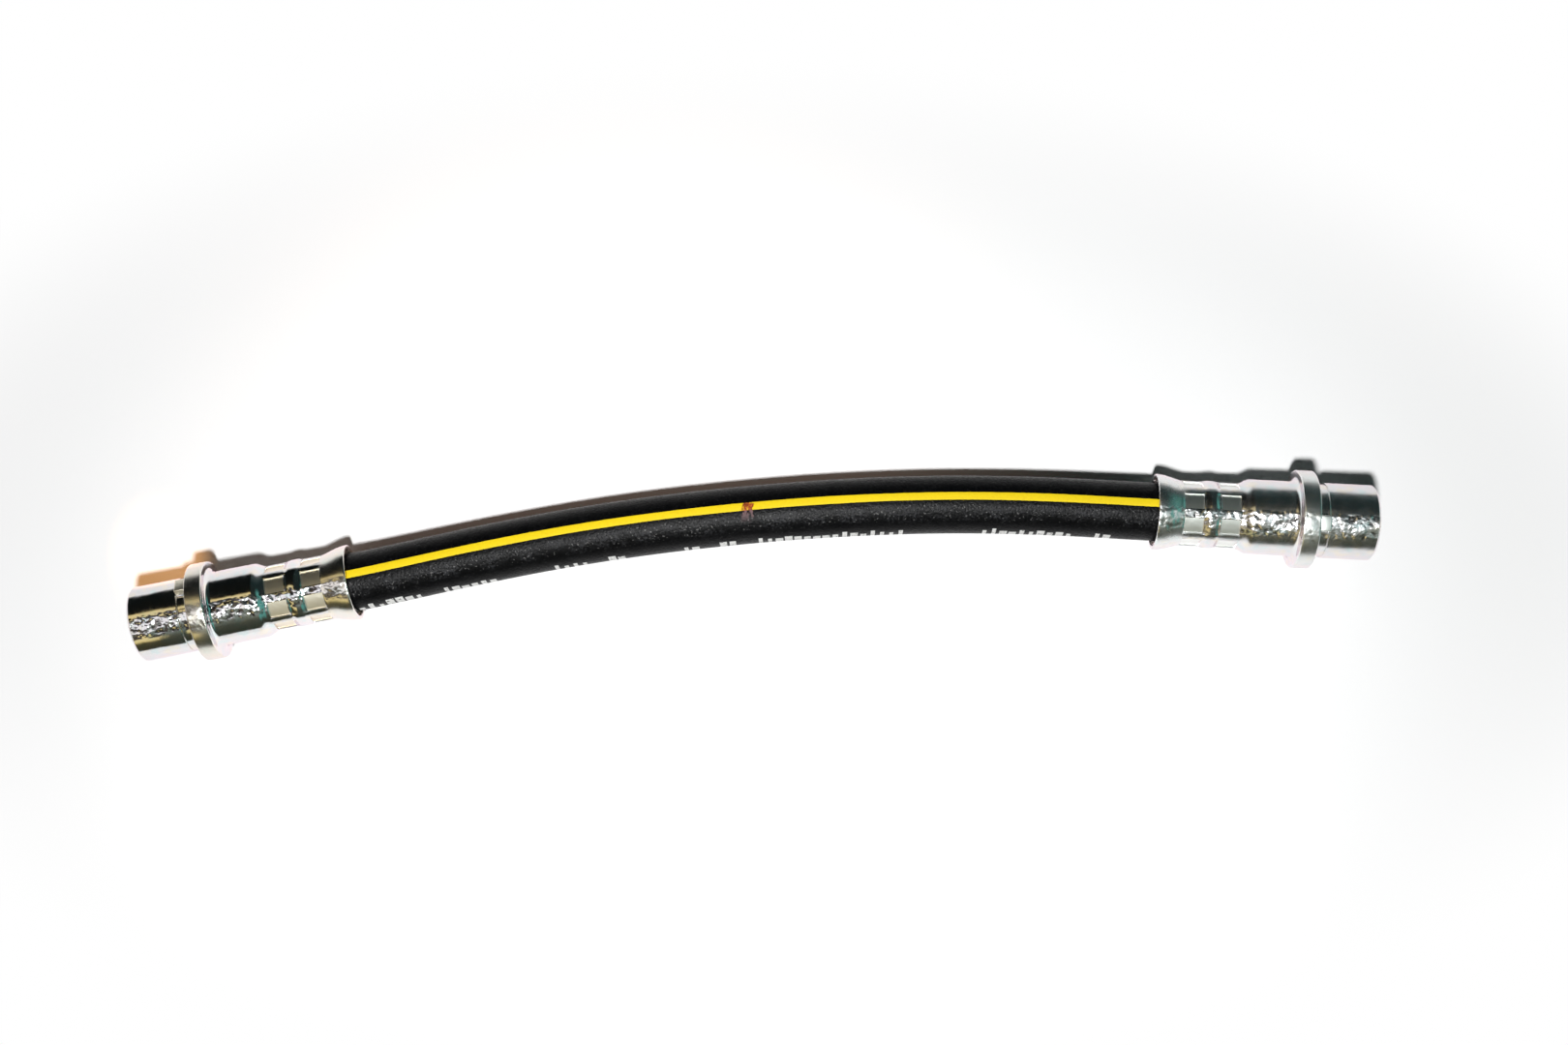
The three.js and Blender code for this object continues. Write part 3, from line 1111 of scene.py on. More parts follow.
        last = len(stations) - 1
        for column in range(count):
            beside = column + 1
            for row in range(last):
                ahead = row + 1
                add_face([(row, column, 0), (row, beside, 0), (ahead, beside, 0), (ahead, column, 0)])
                add_face([(row, beside, 1), (row, column, 1), (ahead, column, 1), (ahead, beside, 1)])
            add_face([(0, column, 1), (0, beside, 1), (0, beside, 0), (0, column, 0)])
            add_face([(last, beside, 1), (last, column, 1), (last, column, 0), (last, beside, 0)])
        piece = self.mesh_piece(layer.name, points, faces, maps)
        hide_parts(layer.node)
        dress(piece, layer.material)
        return piece

    def stripe_piece(self, line: Centreline) -> Piece:
        """Sweeps the thin stripe along the cover, a little proud of it.

        Args:
            line: the hose's centreline.

        Returns:
            The piece.
        """
        half = self.stripe_width / self.diameter
        middle = math.radians(self.stripe_angle)
        steps = self.stripe_columns
        start = self.in_fitting - self.stripe_hidden
        count = round((line.length - 2 * start) / self.ring_pitch)
        stations = [start + (line.length - 2 * start) * index / count for index in range(count + 1)]
        points: list[Vector] = []
        for distance in stations:
            waver = sum(size * math.sin(distance / wave + phase) for size, wave, phase in self.stripe_wavers)
            angles = [middle + half * (1 + waver) * (2 * step / steps - 1) for step in range(steps + 1)]
            points += self.ring(line, distance, self.diameter / 2 + self.stripe_proud, angles)
            points += self.ring(line, distance, self.diameter / 2 - self.stripe_proud, angles[::-1])
        size = 2 * (steps + 1)
        faces: list[tuple[int, ...]] = []
        for row in range(count):
            for column in range(size):
                beside = (column + 1) % size
                low, high = size * row, size * (row + 1)
                faces.append((low + column, low + beside, high + beside, high + column))
        faces.append(tuple(reversed(range(size))))
        faces.append(tuple(size * count + column for column in range(size)))
        piece = self.mesh_piece("yellow_stripe", points, faces, [])
        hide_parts("marking_stripe")
        dress(piece, StripeInk().material())
        return piece

    def mesh_piece(
        self, name: str, points: list[Vector], faces: list[tuple[int, ...]], maps: list[Point2]
    ) -> Piece:
        """Makes a smooth piece from points and faces.

        Args:
            name: the piece's name.
            points: the mesh's vertices.
            faces: the corners of each face.
            maps: the map's value at each corner, or nothing.

        Returns:
            The new piece.
        """
        mesh = bpy.data.meshes.new(name)
        mesh.from_pydata(points, [], faces)
        if maps:
            layer = mesh.uv_layers.new(name=HOSE_MAP)
            for corner, value in zip(layer.data, maps):
                corner.uv = value
        piece = bpy.data.objects.new(name, mesh)
        bpy.context.scene.collection.objects.link(piece)
        finish_mesh(piece, HOSE_SMOOTH)
        return piece


# The fittings


@dataclass
class EndFitting:
    """A steel fitting turned in one piece, with its shell crimped on the hose.

    It is modelled with its axis on Z, the bell's mouth at height 0 and the way up on X. Heights are distances
    from the mouth.
    """

    lug_angle: float
    shell_wall: float = 0.75 * MM
    mouth_radius: float = 6.85 * MM
    bell: float = 4.7 * MM
    flare_power: float = 1.3
    crimp_radius: float = 5.85 * MM
    ring: float = 3.3 * MM
    ring_rows: int = 4
    band_radius: float = 6.05 * MM
    band: float = 3.1 * MM
    band_slope: float = 1.0 * MM
    slope_rows: int = 4
    curve_rows: int = 9
    slope_draw: float = 0.62
    band_draw: float = 0.05
    jaws: int = 8
    jaw_floor: float = 5.36 * MM
    jaw_crown: float = 0.3
    jaw_columns: int = 16
    mark_columns: int = 10
    mark_edge: float = 0.2 * MM
    pocket_radius: float = 4.56 * MM
    beyond_crimp: float = 1.0 * MM
    shoulder: float = 2.3 * MM
    barrel_radius: float = 6.7 * MM
    barrel: float = 7.8 * MM
    fillet: float = 1.0 * MM
    fillet_rows: int = 6
    flange_radius: float = 8.75 * MM
    flange: float = 3.0 * MM
    flange_edge: float = 0.3 * MM
    neck_radius: float = 6.4 * MM
    neck: float = 2.0 * MM
    socket_radius: float = 6.7 * MM
    socket: float = 8.7 * MM
    socket_edge: float = 0.4 * MM
    thread_root: float = 5.0 * MM
    thread_crest: float = 4.46 * MM
    thread_pitch: float = 1.0 * MM
    thread_depth: float = 10.4 * MM
    thread_turns: int = 9
    thread_steps: int = 64
    lead_in: float = 0.7 * MM
    seat_radius: float = 3.31 * MM
    seat_depth: float = 1.3 * MM
    insert_hole: float = 1.6 * MM
    lug_width: float = 2.8 * MM
    lug_proud: float = 1.0 * MM
    lug_root: float = 0.4 * MM
    lug_sunk: float = 0.3 * MM
    lug_edge: float = 0.2 * MM

    def __post_init__(self) -> None:
        """Adds up the heights along the axis, and sets the radius that only the outside reaches."""
        self.outside = self.jaw_floor + 0.2 * MM
        self.ring_1 = self.bell
        self.band_start = self.ring_1 + self.ring
        self.ring_2 = self.band_start + self.band
        self.shoulder_start = self.ring_2 + self.ring
        self.pocket_end = self.shoulder_start + self.beyond_crimp
        self.barrel_start = self.shoulder_start + self.shoulder
        self.flange_start = self.barrel_start + self.barrel
        self.neck_start = self.flange_start + self.flange
        self.socket_start = self.neck_start + self.neck
        self.face = self.socket_start + self.socket
        self.thread_end = self.face - self.thread_depth

    def flare(self, share: float) -> float:
        """The bell's outer radius at a share of its length from the mouth."""
        rise = max(math.cos(share * math.pi / 2), 0.0) ** self.flare_power
        return self.crimp_radius + (self.mouth_radius - self.crimp_radius) * rise

    def outline(self) -> list[Point2]:
        """The section of the body: up the outside and down the inside.

        Returns:
            Radius and height of each corner, in order.
        """
        shares = [row / self.curve_rows for row in range(1, self.curve_rows)]
        crimp, barrel, socket = self.crimp_radius, self.barrel_radius, self.socket_radius
        mouth, flange, neck, edge = self.mouth_radius, self.flange_radius, self.neck_radius, self.flange_edge
        corners = [(mouth - self.shell_wall, 0.0, 0.3 * MM), (mouth, 0.0, 0.3 * MM)]
        corners += [(self.flare(share), self.bell * share, 0.0) for share in shares]
        corners += self.crimped_corners()
        for share in shares:
            rise = math.sin(share * math.pi / 2) ** 2
            height = self.shoulder_start + self.shoulder * share
            corners.append((crimp + (barrel - crimp) * rise, height, 0.0))
        corners.append((barrel, self.barrel_start, 0.0))
        for row in range(self.fillet_rows + 1):
            angle = math.pi / 2 * row / self.fillet_rows
            radius = barrel + self.fillet * (1 - math.cos(angle))
            corners.append((radius, self.flange_start - self.fillet * (1 - math.sin(angle)), 0.0))
        corners += [
            (flange, self.flange_start, edge),
            (flange, self.neck_start, edge),
            (neck, self.neck_start, 0.25 * MM),
            (neck, self.socket_start, 0.25 * MM),
            (socket, self.socket_start, 0.15 * MM),
            (socket, self.face - self.socket_edge, 0.15 * MM),
            (socket - self.socket_edge, self.face, 0.15 * MM),
            (self.thread_crest + self.lead_in, self.face, 0.08 * MM),
            (self.thread_root, self.face - 0.15 * MM, 0.0),
            (self.thread_root, self.thread_end, 0.15 * MM),
            (self.seat_radius, self.thread_end, 0.08 * MM),
            (self.seat_radius, self.thread_end - self.seat_depth, 0.0),
            (self.insert_hole, self.thread_end - self.seat_depth, 0.0),
            (self.insert_hole, self.pocket_end, 0.0),
            (self.pocket_radius, self.pocket_end, 0.1 * MM),
            (self.pocket_radius, self.ring_1, 0.0),
        ]
        corners += [(self.flare(s) - self.shell_wall, self.bell * s, 0.0) for s in reversed(shares)]
        return round_corners(corners)

    def crimped_corners(self) -> list[Point3]:
        """The outline's corners along both crimp rings and the band between them.

        Returns:
            Radius, height and rounding of each corner.
        """
        crimp, swell, rows = self.crimp_radius, self.band_radius - self.crimp_radius, self.slope_rows
        ring = [self.ring * row / self.ring_rows for row in range(self.ring_rows + 1)]
        corners = [(crimp, self.ring_1 + height, 0.0) for height in ring]
        for row in range(1, rows + 1):
            rise = (1 - math.cos(math.pi * row / rows)) / 2
            corners.append((crimp + swell * rise, self.band_start + self.band_slope * row / rows, 0.0))
        corners.append((self.band_radius, self.band_start + self.band / 2, 0.0))
        for row in range(rows):
            fall = (1 + math.cos(math.pi * row / rows)) / 2
            height = self.ring_2 - self.band_slope + self.band_slope * row / rows
            corners.append((crimp + swell * fall, height, 0.0))
        return corners + [(crimp, self.ring_2 + height, 0.0) for height in ring]

    def dull_patches(self) -> list[DullPatch]:
        """The bell, both rings of jaw marks, the lug and the flange's rim.

        Returns:
            The patches.
        """
        pocket, marks = self.pocket_radius, self.crimp_radius - self.mark_edge
        rim = self.flange_radius - 0.15 * MM
        return [
            DullPatch(-1.0 * MM, self.ring_1, pocket, 2 * self.mouth_radius, 0.42),
            DullPatch(self.ring_1, self.band_start, pocket, marks),
            DullPatch(self.ring_2, self.shoulder_start, pocket, marks),
            DullPatch(self.neck_start, self.socket_start, self.socket_radius, self.flange_radius),
            DullPatch(self.flange_start, self.neck_start, rim, 2 * self.flange_radius, 0.55),
        ]

    def build(self, end: End, cut_end: Vector, inward: Vector, hose: Hose) -> None:
        """Builds, places and dresses the fitting.

        Args:
            end: which end of the hose it is on.
            cut_end: where the hose's centreline ends in it.
            inward: the centreline's point before that.
            hose: the hose that it holds.
        """
        place = fitting_place(cut_end, inward, hose.in_fitting)
        piece = self.turn_sector(f"{end.value}_fitting")
        self.press_jaws(piece)
        self.copy_round(piece)
        finish_mesh(piece, TURNED_SMOOTH)
        self.join(piece, [self.thread(), self.lug()])
        put_in_place(piece, place)
        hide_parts(f"{end.value}_end_fitting")
        front = -1.0 if end is End.LEFT else 1.0
        dress(piece, PLATES[end].material(place, front, self.dull_patches()))

    def turn_sector(self, name: str) -> Piece:
        """Turns the outline through one jaw's share of the circle, with the jaw in the middle on +X.

        Args:
            name: the piece's name.

        Returns:
            The sector, in edit mode.
        """
        share = math.tau / self.jaws
        piece = draw_outline(name, self.outline(), share / 2)
        bpy.ops.mesh.spin(steps=self.jaw_columns, angle=share, center=(0, 0, 0), axis=(0, 0, 1))
        return piece

    def press_jaws(self, piece: Piece) -> None:
        """Presses the marks of one jaw into both rings, and draws the band in beside them.

        Args:
            piece: the fitting's sector, in edit mode.
        """
        half = math.tau / self.jaws / 2 * self.mark_columns / self.jaw_columns
        reach = half * (1 + 0.5 / self.mark_columns)
        crown = self.jaw_crown
        centre = (self.jaw_floor - crown * self.crimp_radius) / (1 - crown)
        for start in (self.ring_1, self.ring_2):
            stop = start + self.ring

            def in_mark(middle: Vector, low: float = start, high: float = stop) -> bool:
                """Whether a face's middle is in the jaw's mark, on the outside."""
                radius, angle = polar(middle)
                return radius > self.outside and low < middle.z < high and angle < half

            select_faces(piece, in_mark)
            bpy.ops.mesh.extrude_region_move(TRANSFORM_OT_translate={"value": (0, 0, 0)})
            bpy.ops.transform.resize(value=(crown, 1, 1), center_override=(centre, 0, 0))
            self.bevel_rim(piece, start, stop, half)
        for height, share in self.drawn_in():

            def on_row(vertex: Vector, level: float = height) -> bool:
                """Whether a vertex is on this row of the outside, between the ribs."""
                radius, angle = polar(vertex)
                return radius > self.outside and angle < reach and abs(vertex.z - level) < 0.01 * MM

            if select_vertices(piece, on_row):
                bpy.ops.transform.resize(value=(1 - share, 1, 1), center_override=(self.jaw_floor, 0, 0))

    def drawn_in(self) -> list[Point2]:
        """The heights beside the marks, with the share by which the metal is drawn towards the jaw's flat.

        Returns:
            Each height with its share.
        """
        rows = []
        for row in range(1, self.slope_rows + 1):
            share = self.slope_draw * (1 - row / (self.slope_rows + 1))
            offset = self.band_slope * row / self.slope_rows
            rows += [(self.band_start + offset, share), (self.ring_2 - offset, share)]
        return [*rows, (self.band_start + self.band / 2, self.band_draw)]

    def bevel_rim(self, piece: Piece, start: float, stop: float, half: float) -> None:
        """Rounds the sharp rim of a jaw's mark.

        Args:
            piece: the fitting's sector, in edit mode.
            start: the mark's lower height.
            stop: its upper height.
            half: half of the angle that it covers.
        """
        mesh = bmesh.from_edit_mesh(piece.data)
        slack = 0.02 * MM

        def on_rim(point: Vector) -> bool:
            """Whether a point is on the rim.

            Args:
                point: a corner, or the middle of an edge.

            Returns:
                True on the rim.
            """
            radius, angle = polar(point)
            if abs(radius - self.crimp_radius) > slack or not start - slack < point.z < stop + slack:
                return False
            at_end = min(abs(point.z - start), abs(point.z - stop)) < slack and angle < half + 0.001
            return at_end or abs(angle - half) < 0.001

        bpy.ops.mesh.select_mode(type="EDGE")
        for edge in mesh.edges:
            edge.select_set(False)
        for edge in mesh.edges:
            first, last = (vertex.co for vertex in edge.verts)
            if on_rim(first) and on_rim(last):
                steep = any(abs(face.calc_center_median().x - first.x) > slack for face in edge.link_faces)
                edge.select_set(steep and on_rim((first + last) / 2))
        bmesh.update_edit_mesh(piece.data)
        bpy.ops.mesh.bevel(offset=self.mark_edge, segments=2, affect="EDGES")

    def copy_round(self, piece: Piece) -> None:
        """Copies the sector round the axis once for each jaw, the first half a share from the top.

        Args:
            piece: the fitting's sector, in edit mode.
        """
        share = math.tau / self.jaws
        bpy.ops.mesh.select_all(action="SELECT")
        bpy.ops.transform.rotate(value=share / 2, orient_axis="Z", center_override=(0, 0, 0))
        bpy.ops.mesh.spin(
            steps=self.jaws - 1,
            angle=share * (self.jaws - 1),
            center=(0, 0, 0),
            axis=(0, 0, 1),
            dupli=True,
        )
        bpy.ops.object.mode_set(mode="OBJECT")

    def thread(self) -> Piece:
        """The thread's ridge in the socket, cut back by the lead-in.

        Returns:
            The ridge.
        """
        sunk, margin = 0.05 * MM, 0.2 * MM
        crest, base = self.thread_crest, self.thread_root + sunk
        half_crest = self.thread_pitch / 16
        half_base = half_crest + (base - crest) * math.tan(math.radians(30))
        start = self.thread_end + self.thread_pitch
        corners = [(base, start - half_base), (base, start + half_base)]
        corners += [(crest, start + half_crest), (crest, start - half_crest)]
        ridge = draw_outline("thread_ridge", corners)
        bpy.ops.object.mode_set(mode="OBJECT")
        apply_modifier(
            ridge,
            "SCREW",
            axis="Z",
            angle=math.tau,
            screw_offset=self.thread_pitch,
            iterations=self.thread_turns,
            steps=self.thread_steps,
            render_steps=self.thread_steps,
        )
        bpy.ops.object.mode_set(mode="EDIT")
        bpy.ops.mesh.select_all(action="SELECT")
        bpy.ops.mesh.remove_doubles(threshold=MERGE_DISTANCE)
        bpy.ops.mesh.fill_holes(sides=0)
        bpy.ops.mesh.normals_make_consistent(inside=False)
        bpy.ops.object.mode_set(mode="OBJECT")
        depth = self.lead_in + margin + sunk
        bpy.ops.mesh.primitive_cone_add(
            vertices=96,
            radius1=crest - sunk,
            radius2=crest + self.lead_in + margin,
            depth=depth,
            location=(0, 0, self.face + margin - depth / 2),
        )
        cutter = bpy.context.object
        apply_modifier(ridge, "BOOLEAN", operation="DIFFERENCE", solver="EXACT", object=cutter)
        bpy.data.objects.remove(cutter)
        bpy.ops.object.shade_smooth_by_angle(angle=TRIM_SMOOTH)
        return ridge

    def lug(self) -> Piece:
        """The index lug in the neck, rooted in the flange's face.

        Returns:
            The lug.
        """
        top = self.socket_radius + self.lug_proud
        root = self.neck_radius - self.lug_root
        bpy.ops.mesh.primitive_cube_add(
            size=1.0,
            location=((top + root) / 2, 0, self.neck_start + (self.neck - self.lug_sunk) / 2),
            scale=(top - root, self.lug_width, self.neck + self.lug_sunk),
        )
        lug = bpy.context.object
        bpy.ops.object.transform_apply(location=True, rotation=False, scale=True)
        apply_modifier(lug, "BEVEL", width=self.lug_edge, segments=3)
        lug.data.transform(Matrix.Rotation(math.radians(self.lug_angle), 4, "Z"))
        bpy.ops.object.shade_smooth_by_angle(angle=TRIM_SMOOTH)
        return lug

    def join(self, piece: Piece, others: list[Piece]) -> None:
        """Joins other meshes into the piece.

        Args:
            piece: the piece that takes them in.
            others: the meshes to join.
        """
        activate(piece)
        for other in others:
            other.select_set(True)
        bpy.ops.object.join()


@dataclass
class Insert:
    """The nipple tube inside the hose, with its barbs and the cone seat in the socket."""

    sides: int = 64
    bore: float = 1.0 * MM
    root: float = 1.375 * MM
    barb: float = 1.495 * MM
    barb_count: int = 3
    barb_pitch: float = 3.2 * MM
    barb_slope: float = 2.4 * MM
    barb_crest: float = 0.4 * MM
    first_barb: float = 4.7 * MM
    nose: float = 1.2 * MM
    seat_radius: float = 3.2 * MM
    seat_bottom: float = 26.6 * MM
    seat_thickness: float = 1.3 * MM
    cone_height: float = 1.2 * MM
    cone_top: float = 1.5 * MM

    def outline(self) -> list[Point2]:
        """The section of the insert: up the outside and down the bore.

        Returns:
            Radius and height of each corner, in order.
        """
        nose = self.first_barb - self.nose
        rim = self.seat_bottom + self.seat_thickness
        corners = [(self.bore, nose, 0.05 * MM), (self.root, nose, 0.2 * MM)]
        for index in range(self.barb_count):
            start = self.first_barb + index * self.barb_pitch
            corners.append((self.root, start, 0.0))
            corners.append((self.barb, start + self.barb_slope, 0.03 * MM))
            corners.append((self.barb, start + self.barb_slope + self.barb_crest, 0.03 * MM))
        corners += [
            (self.barb, self.first_barb + self.barb_count * self.barb_pitch + 1.0 * MM, 0.0),
            (self.barb, self.seat_bottom, 0.1 * MM),
            (self.seat_radius, self.seat_bottom, 0.1 * MM),
            (self.seat_radius, rim, 0.1 * MM),
            (self.cone_top, rim + self.cone_height, 0.15 * MM),
            (self.bore, rim + self.cone_height, 0.15 * MM),
        ]
        return round_corners(corners)

    def build(self, end: End, cut_end: Vector, inward: Vector, hose: Hose) -> None:
        """Builds, places and dresses the insert.

        Args:
            end: which end of the hose it is in.
            cut_end: where the hose's centreline ends.
            inward: the centreline's point before that.
            hose: the hose that it is pushed into.
        """
        place = fitting_place(cut_end, inward, hose.in_fitting)
        piece = draw_outline(f"{end.value}_nipple", self.outline())
        bpy.ops.mesh.spin(steps=self.sides, angle=math.tau, center=(0, 0, 0), axis=(0, 0, 1))
        finish_mesh(piece, TURNED_SMOOTH)
        put_in_place(piece, place)
        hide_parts(f"{end.value}_insert")
        dress(piece, TurnedSteel(f"{end.value}_turned_steel").material(place))


def fitting_place(cut_end: Vector, inward: Vector, in_fitting: float) -> Matrix:
    """Where a fitting lies: its axis on Z, its top on X and its origin at the bell's mouth.

    Args:
        cut_end: where the hose's centreline ends in it.
        inward: the centreline's point before that.
        in_fitting: how far the hose reaches into it.

    Returns:
        The matrix that takes the fitting's own frame to its place.
    """
    axis = (cut_end - inward).normalized()
    sideways = axis.cross(Vector((0, 0, 1))).normalized()
    up = sideways.cross(axis)
    turn = Matrix((up, sideways, axis)).transposed().to_4x4()
    return Matrix.Translation(cut_end - axis * in_fitting) @ turn


def put_in_place(piece: Piece, place: Matrix) -> None:
    """Moves a piece to its place and leaves its object at the origin.

    Args:
        piece: the finished piece, still in its own frame.
        place: takes that frame to where the piece lies.
    """
    activate(piece)
    piece.matrix_world = place
    bpy.ops.object.transform_apply(location=True, rotation=True, scale=True)


# The studio


@dataclass(frozen=True)
class Lamp:
    """A round softbox or a spotlight.

    Attributes:
        name: the lamp's name.
        place: where it is.
        target: what it faces.
        size: its diameter.
        power: its power in watts.
        colour: the colour of its light.
        mirrored: whether shiny surfaces mirror it.
        beam: the width of a spotlight's beam in degrees, or 0 for a softbox.
        beam_blend: how soft the beam's edge is.
    """

    name: str
    place: Point3
    target: Point3
    size: float
    power: float
    colour: Colour = (1.0, 1.0, 1.0)
    mirrored: bool = True
    beam: float = 0.0
    beam_blend: float = 0.4

    def build(self) -> None:
        """Adds the lamp."""
        bpy.ops.object.light_add(type="SPOT" if self.beam else "AREA", location=self.place)
        lamp = bpy.context.object
        lamp.name = self.name
        if self.beam:
            lamp.data.spot_size = math.radians(self.beam)
            lamp.data.spot_blend = self.beam_blend
            lamp.data.shadow_soft_size = self.size / 2
        else:
            lamp.data.shape = "DISK"
            lamp.data.size = self.size
        lamp.data.energy = self.power
        lamp.data.color = self.colour
        aim = Vector(self.target) - Vector(self.place)
        lamp.rotation_euler = aim.to_track_quat("-Z", "Y").to_euler()
        lamp.visible_glossy = self.mirrored


@dataclass(frozen=True)
class Wall:
    """What the metal mirrors on one side: bands of colour from the back over the top to the front.

    Attributes:
        bands: degrees from straight up towards the front, and the colour there.
    """

    bands: tuple[tuple[float, Colour], ...]

    def colour(self, sheet: NodeSheet, lean: Socket) -> Socket:
        """The colour in a direction.

        Args:
            sheet: the world's nodes.
            lean: the direction's degrees from straight up, towards the front.

        Returns:
            The colour.
        """
        node = sheet.add("ShaderNodeValToRGB")
        sheet.feed(node.inputs["Fac"], sheet.math("DIVIDE", sheet.plus(lean, 90.0), 180.0))
        stops = node.color_ramp.elements
        while len(stops) < len(self.bands):
            stops.new(0.5)
        for stop, (degrees, colour) in zip(stops, self.bands):
            stop.position = (degrees + 90.0) / 180.0
            stop.color = (*colour, 1.0)
        return node.outputs["Color"]


@dataclass(frozen=True)
class Studio:
    """A white table under one softbox in a dim room, with two faint warm lamps and a faint sea-green one."""

    table_size: float = 6.0
    table_white: float = 0.50
    table_seen: float = 1.0
    lit_radius: float = 0.125
    far_radius: float = 0.19
    lit_depth: float = 0.03
    dark_depth: float = 0.28
    back_light: float = 0.10
    room: Colour = (0.016, 0.018, 0.018)
    sea_wall: Colour = (0.10, 0.34, 0.30)
    sea_begins: Point2 = (0.55, 0.70)
    sea_ends: Point2 = (0.86, 0.97)
    sea_above: Point2 = (0.18, 0.45)
    walls_meet: Point2 = (-0.12, -0.03)
    left_wall: Wall = Wall((
        (-90.0, (0.004, 0.006, 0.006)),
        (-30.0, (0.006, 0.006, 0.005)),
        (-27.0, (0.85, 0.66, 0.30)),
        (-22.0, (0.95, 0.80, 0.45)),
        (-18.0, (0.05, 0.04, 0.035)),
        (-4.0, (0.07, 0.06, 0.06)),
        (4.0, (1.05, 1.0, 1.05)),
        (17.0, (1.0, 0.98, 1.0)),
        (25.0, (0.07, 0.06, 0.055)),
        (46.0, (0.06, 0.05, 0.04)),
        (50.0, (0.90, 0.74, 0.38)),
        (57.0, (0.85, 0.68, 0.28)),
        (63.0, (0.07, 0.06, 0.028)),
        (90.0, (0.035, 0.034, 0.018)),
    ))
    right_wall: Wall = Wall((
        (-90.0, (0.050, 0.070, 0.070)),
        (-66.0, (0.014, 0.024, 0.024)),
        (-30.0, (0.012, 0.018, 0.018)),
        (-12.0, (0.030, 0.042, 0.042)),
        (-3.0, (0.06, 0.08, 0.08)),
        (4.0, (0.72, 0.79, 0.80)),
        (10.0, (0.72, 0.79, 0.79)),
        (20.0, (0.26, 0.29, 0.27)),
        (40.0, (0.16, 0.18, 0.15)),
        (56.0, (0.060, 0.066, 0.050)),
        (90.0, (0.030, 0.034, 0.022)),
    ))
    lamps: tuple[Lamp, ...] = (
        Lamp("softbox", (-0.006, -0.071, 0.355), (0.0, 0.005, 0.0), 0.034, 1.50),
        Lamp(
            "warm_pool",
            (-0.118, 0.075, 0.10),
            (-0.1095, 0.0015, 0.0),
            0.004,
            0.40,
            (1.0, 0.48, 0.15),
            mirrored=False,
            beam=8.5,
        ),
        Lamp(
            "warm_lamp",
            (-0.035, 0.17, 0.16),
            (-0.028, 0.008, 0.0),
            0.05,
            0.20,
            (1.0, 0.66, 0.50),
            mirrored=False,
            beam=42.0,
        ),
        Lamp("sea_lamp", (0.30, 0.12, 0.14), (0.10, 0.0, 0.0), 0.05, 0.007, (0.0, 0.90, 0.75), False),
    )
    camera_place: Point3 = (5.48 * MM, 7.64 * MM, 286.25 * MM)
    camera_lens: float = 35.6

    def build(self) -> None:
        """Builds the table, the room, the lamps and the camera."""
        self.add_camera()
        self.add_table()
        self.light_room()
        for lamp in self.lamps:
            lamp.build()

    def add_camera(self) -> None:
        """Adds the camera, straight above the hose and looking down."""
        bpy.ops.object.camera_add(location=self.camera_place, rotation=(0, 0, 0))
        camera = bpy.context.object
        camera.data.lens = self.camera_lens
        camera.data.clip_start = 0.01
        bpy.context.scene.camera = camera

    def add_table(self) -> None:
        """Adds the white table, which takes the hose's shadow and turns plain white further out. There the
        glow that shiny surfaces mirror dims towards the back, a painted shade of the softbox's light falling
        off.
        """
        bpy.ops.mesh.primitive_plane_add(size=self.table_size)
        table = bpy.context.object
        table.name = "table"
        sheet = FinishSheet("table_white")
        x, y, z = sheet.split(sheet.object_place())
        across = sheet.math("POWER", sheet.times(y, 2.0), 2.0)
        radius = sheet.math("SQRT", sheet.plus(sheet.math("POWER", x, 2.0), across))
        seen = self.seen(sheet)
        white = sheet.plus(self.table_white, sheet.times(seen, self.table_seen - self.table_white))
        sheet.set(Roughness=0.8, Specular_IOR_Level=0.0, Base_Color=sheet.combine(white, white, white))
        glow = sheet.add("ShaderNodeEmission")
        camera = sheet.add("ShaderNodeLightPath").outputs[Ray.CAMERA.value]
        # Painted shade: for mirrored rays the far glow dims towards the back (+Y), standing in for the
        # softbox's light falling off.
        behind = sheet.ease(y, self.lit_depth, self.dark_depth, 1.0, self.back_light)
        sheet.feed(glow.inputs["Strength"], sheet.most(camera, behind))
        mixed = sheet.add("ShaderNodeMixShader")
        far = sheet.ease(radius, self.lit_radius, self.far_radius)
        sheet.feed(mixed.inputs["Fac"], sheet.times(seen, far))
        sheet.feed(mixed.inputs[1], sheet.shader.outputs["BSDF"])
        sheet.feed(mixed.inputs[2], glow.outputs["Emission"])
        sheet.feed(sheet.tree.nodes["Material Output"].inputs["Surface"], mixed.outputs["Shader"])
        table.data.materials.append(sheet.material)

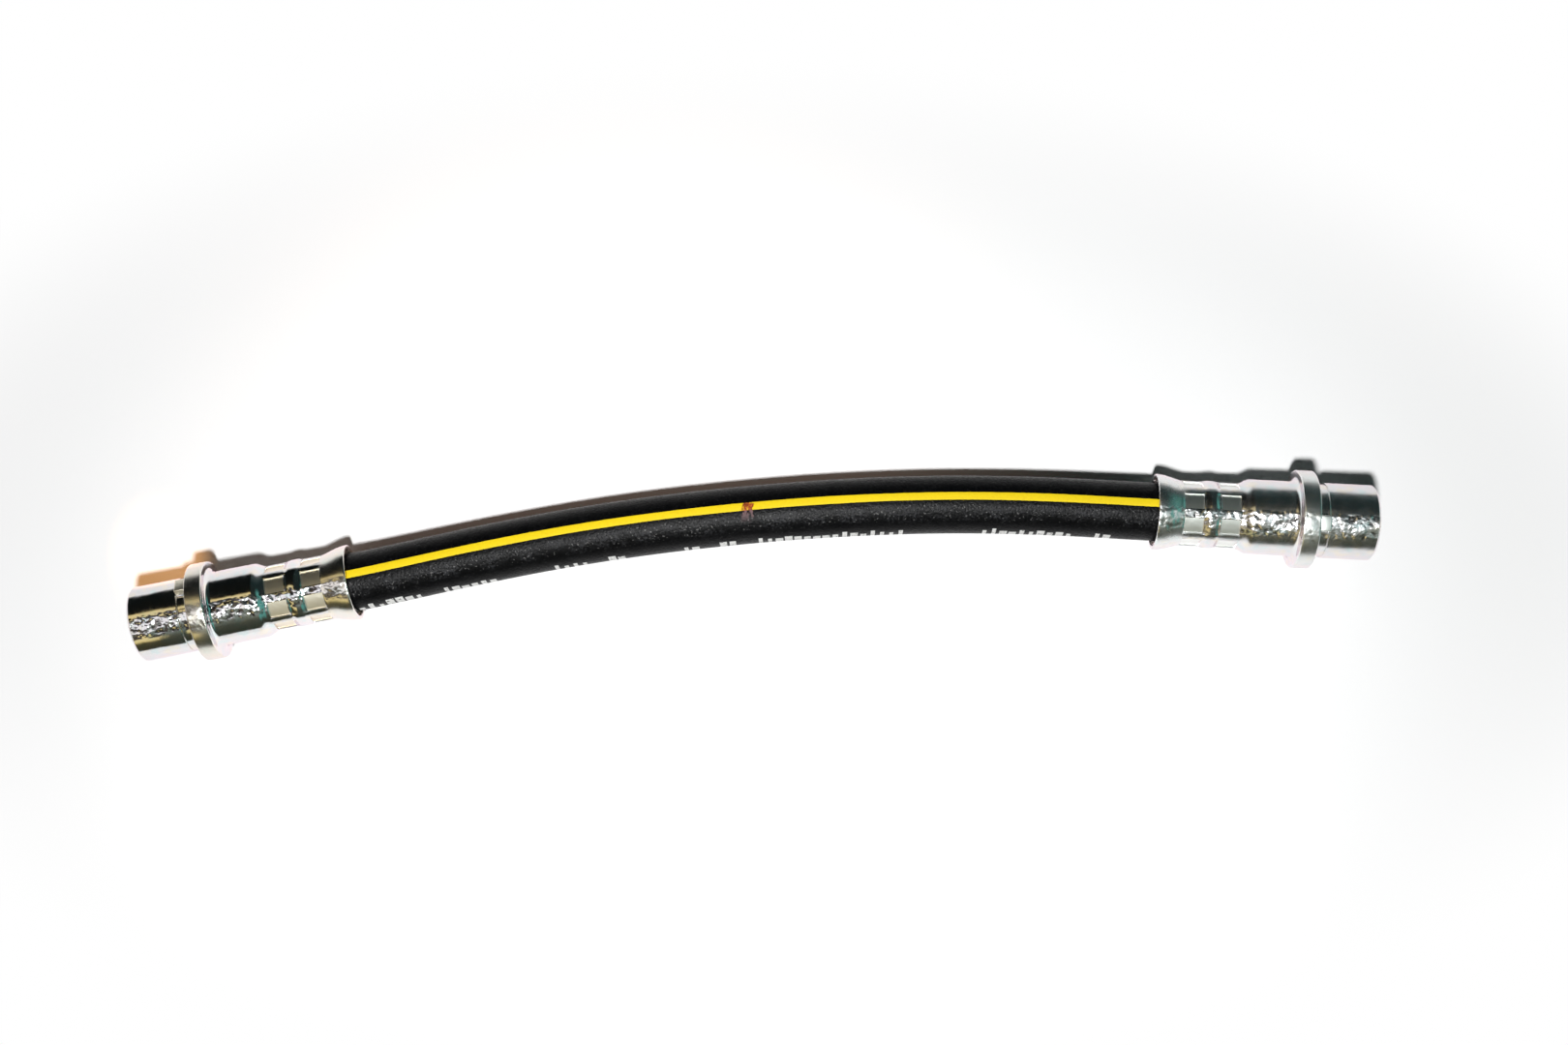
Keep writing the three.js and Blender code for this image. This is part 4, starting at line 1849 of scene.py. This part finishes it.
    def seen(self, sheet: NodeSheet) -> Socket:
        """1 for the rays that see the pale studio, and 0 for those that light it.

        Args:
            sheet: the table's nodes.

        Returns:
            The share.
        """
        rays = sheet.add("ShaderNodeLightPath")
        mirrored = sheet.most(rays.outputs[Ray.GLOSSY.value], rays.outputs[Ray.TRANSMISSION.value])
        direct = sheet.math("LESS_THAN", rays.outputs["Diffuse Depth"], 0.5)
        return sheet.most(rays.outputs[Ray.CAMERA.value], sheet.times(mirrored, direct))

    def light_room(self) -> None:
        """Lights the room dimly, gives metal its stripes to mirror, and shows it white to the camera."""
        world = bpy.data.worlds.new("room")
        world.use_nodes = True
        bpy.context.scene.world = world
        sheet = NodeSheet(world.node_tree)
        x, y, z = sheet.split(sheet.add("ShaderNodeTexCoord").outputs["Generated"])
        lean = sheet.math("DEGREES", sheet.math("ARCTAN2", sheet.times(y, -1.0), z))
        left, right = (wall.colour(sheet, lean) for wall in (self.left_wall, self.right_wall))
        walls = sheet.blend(sheet.ease(x, *self.walls_meet), left, right)
        steep = sheet.times(sheet.ease(x, *self.sea_begins), sheet.ease(x, *self.sea_ends, 1.0, 0.0))
        steep = sheet.times(steep, sheet.ease(z, *self.sea_above))
        mirrored = sheet.blend(steep, walls, self.sea_wall)
        rays = sheet.add("ShaderNodeLightPath")
        direct = sheet.math("LESS_THAN", rays.outputs["Diffuse Depth"], 0.5)
        shiny = sheet.times(rays.outputs[Ray.GLOSSY.value], direct)
        colour = sheet.blend(shiny, self.room, mirrored)
        colour = sheet.blend(rays.outputs[Ray.CAMERA.value], colour, (1.0, 1.0, 1.0))
        background = sheet.tree.nodes["Background"]
        sheet.feed(background.inputs["Color"], colour)
        sheet.feed(background.inputs["Strength"], 1.0)
        bpy.context.scene.view_settings.view_transform = "Standard"


def main() -> None:
    """Builds the studio, the hose and both fittings."""
    logging.basicConfig(level=logging.INFO, format="%(message)s")
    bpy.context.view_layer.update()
    deselect_everything()
    Studio().build()
    line = Centreline(ROUTE)
    hose = Hose()
    hose.build(line)
    ends = [(End.LEFT, line.knots[0], line.knots[1], 45.0), (End.RIGHT, line.knots[-1], line.knots[-2], 5.0)]
    for end, cut_end, inward, lug_angle in ends:
        EndFitting(lug_angle).build(end, cut_end, inward, hose)
        Insert().build(end, cut_end, inward, hose)


if __name__ == "__main__":
    main()
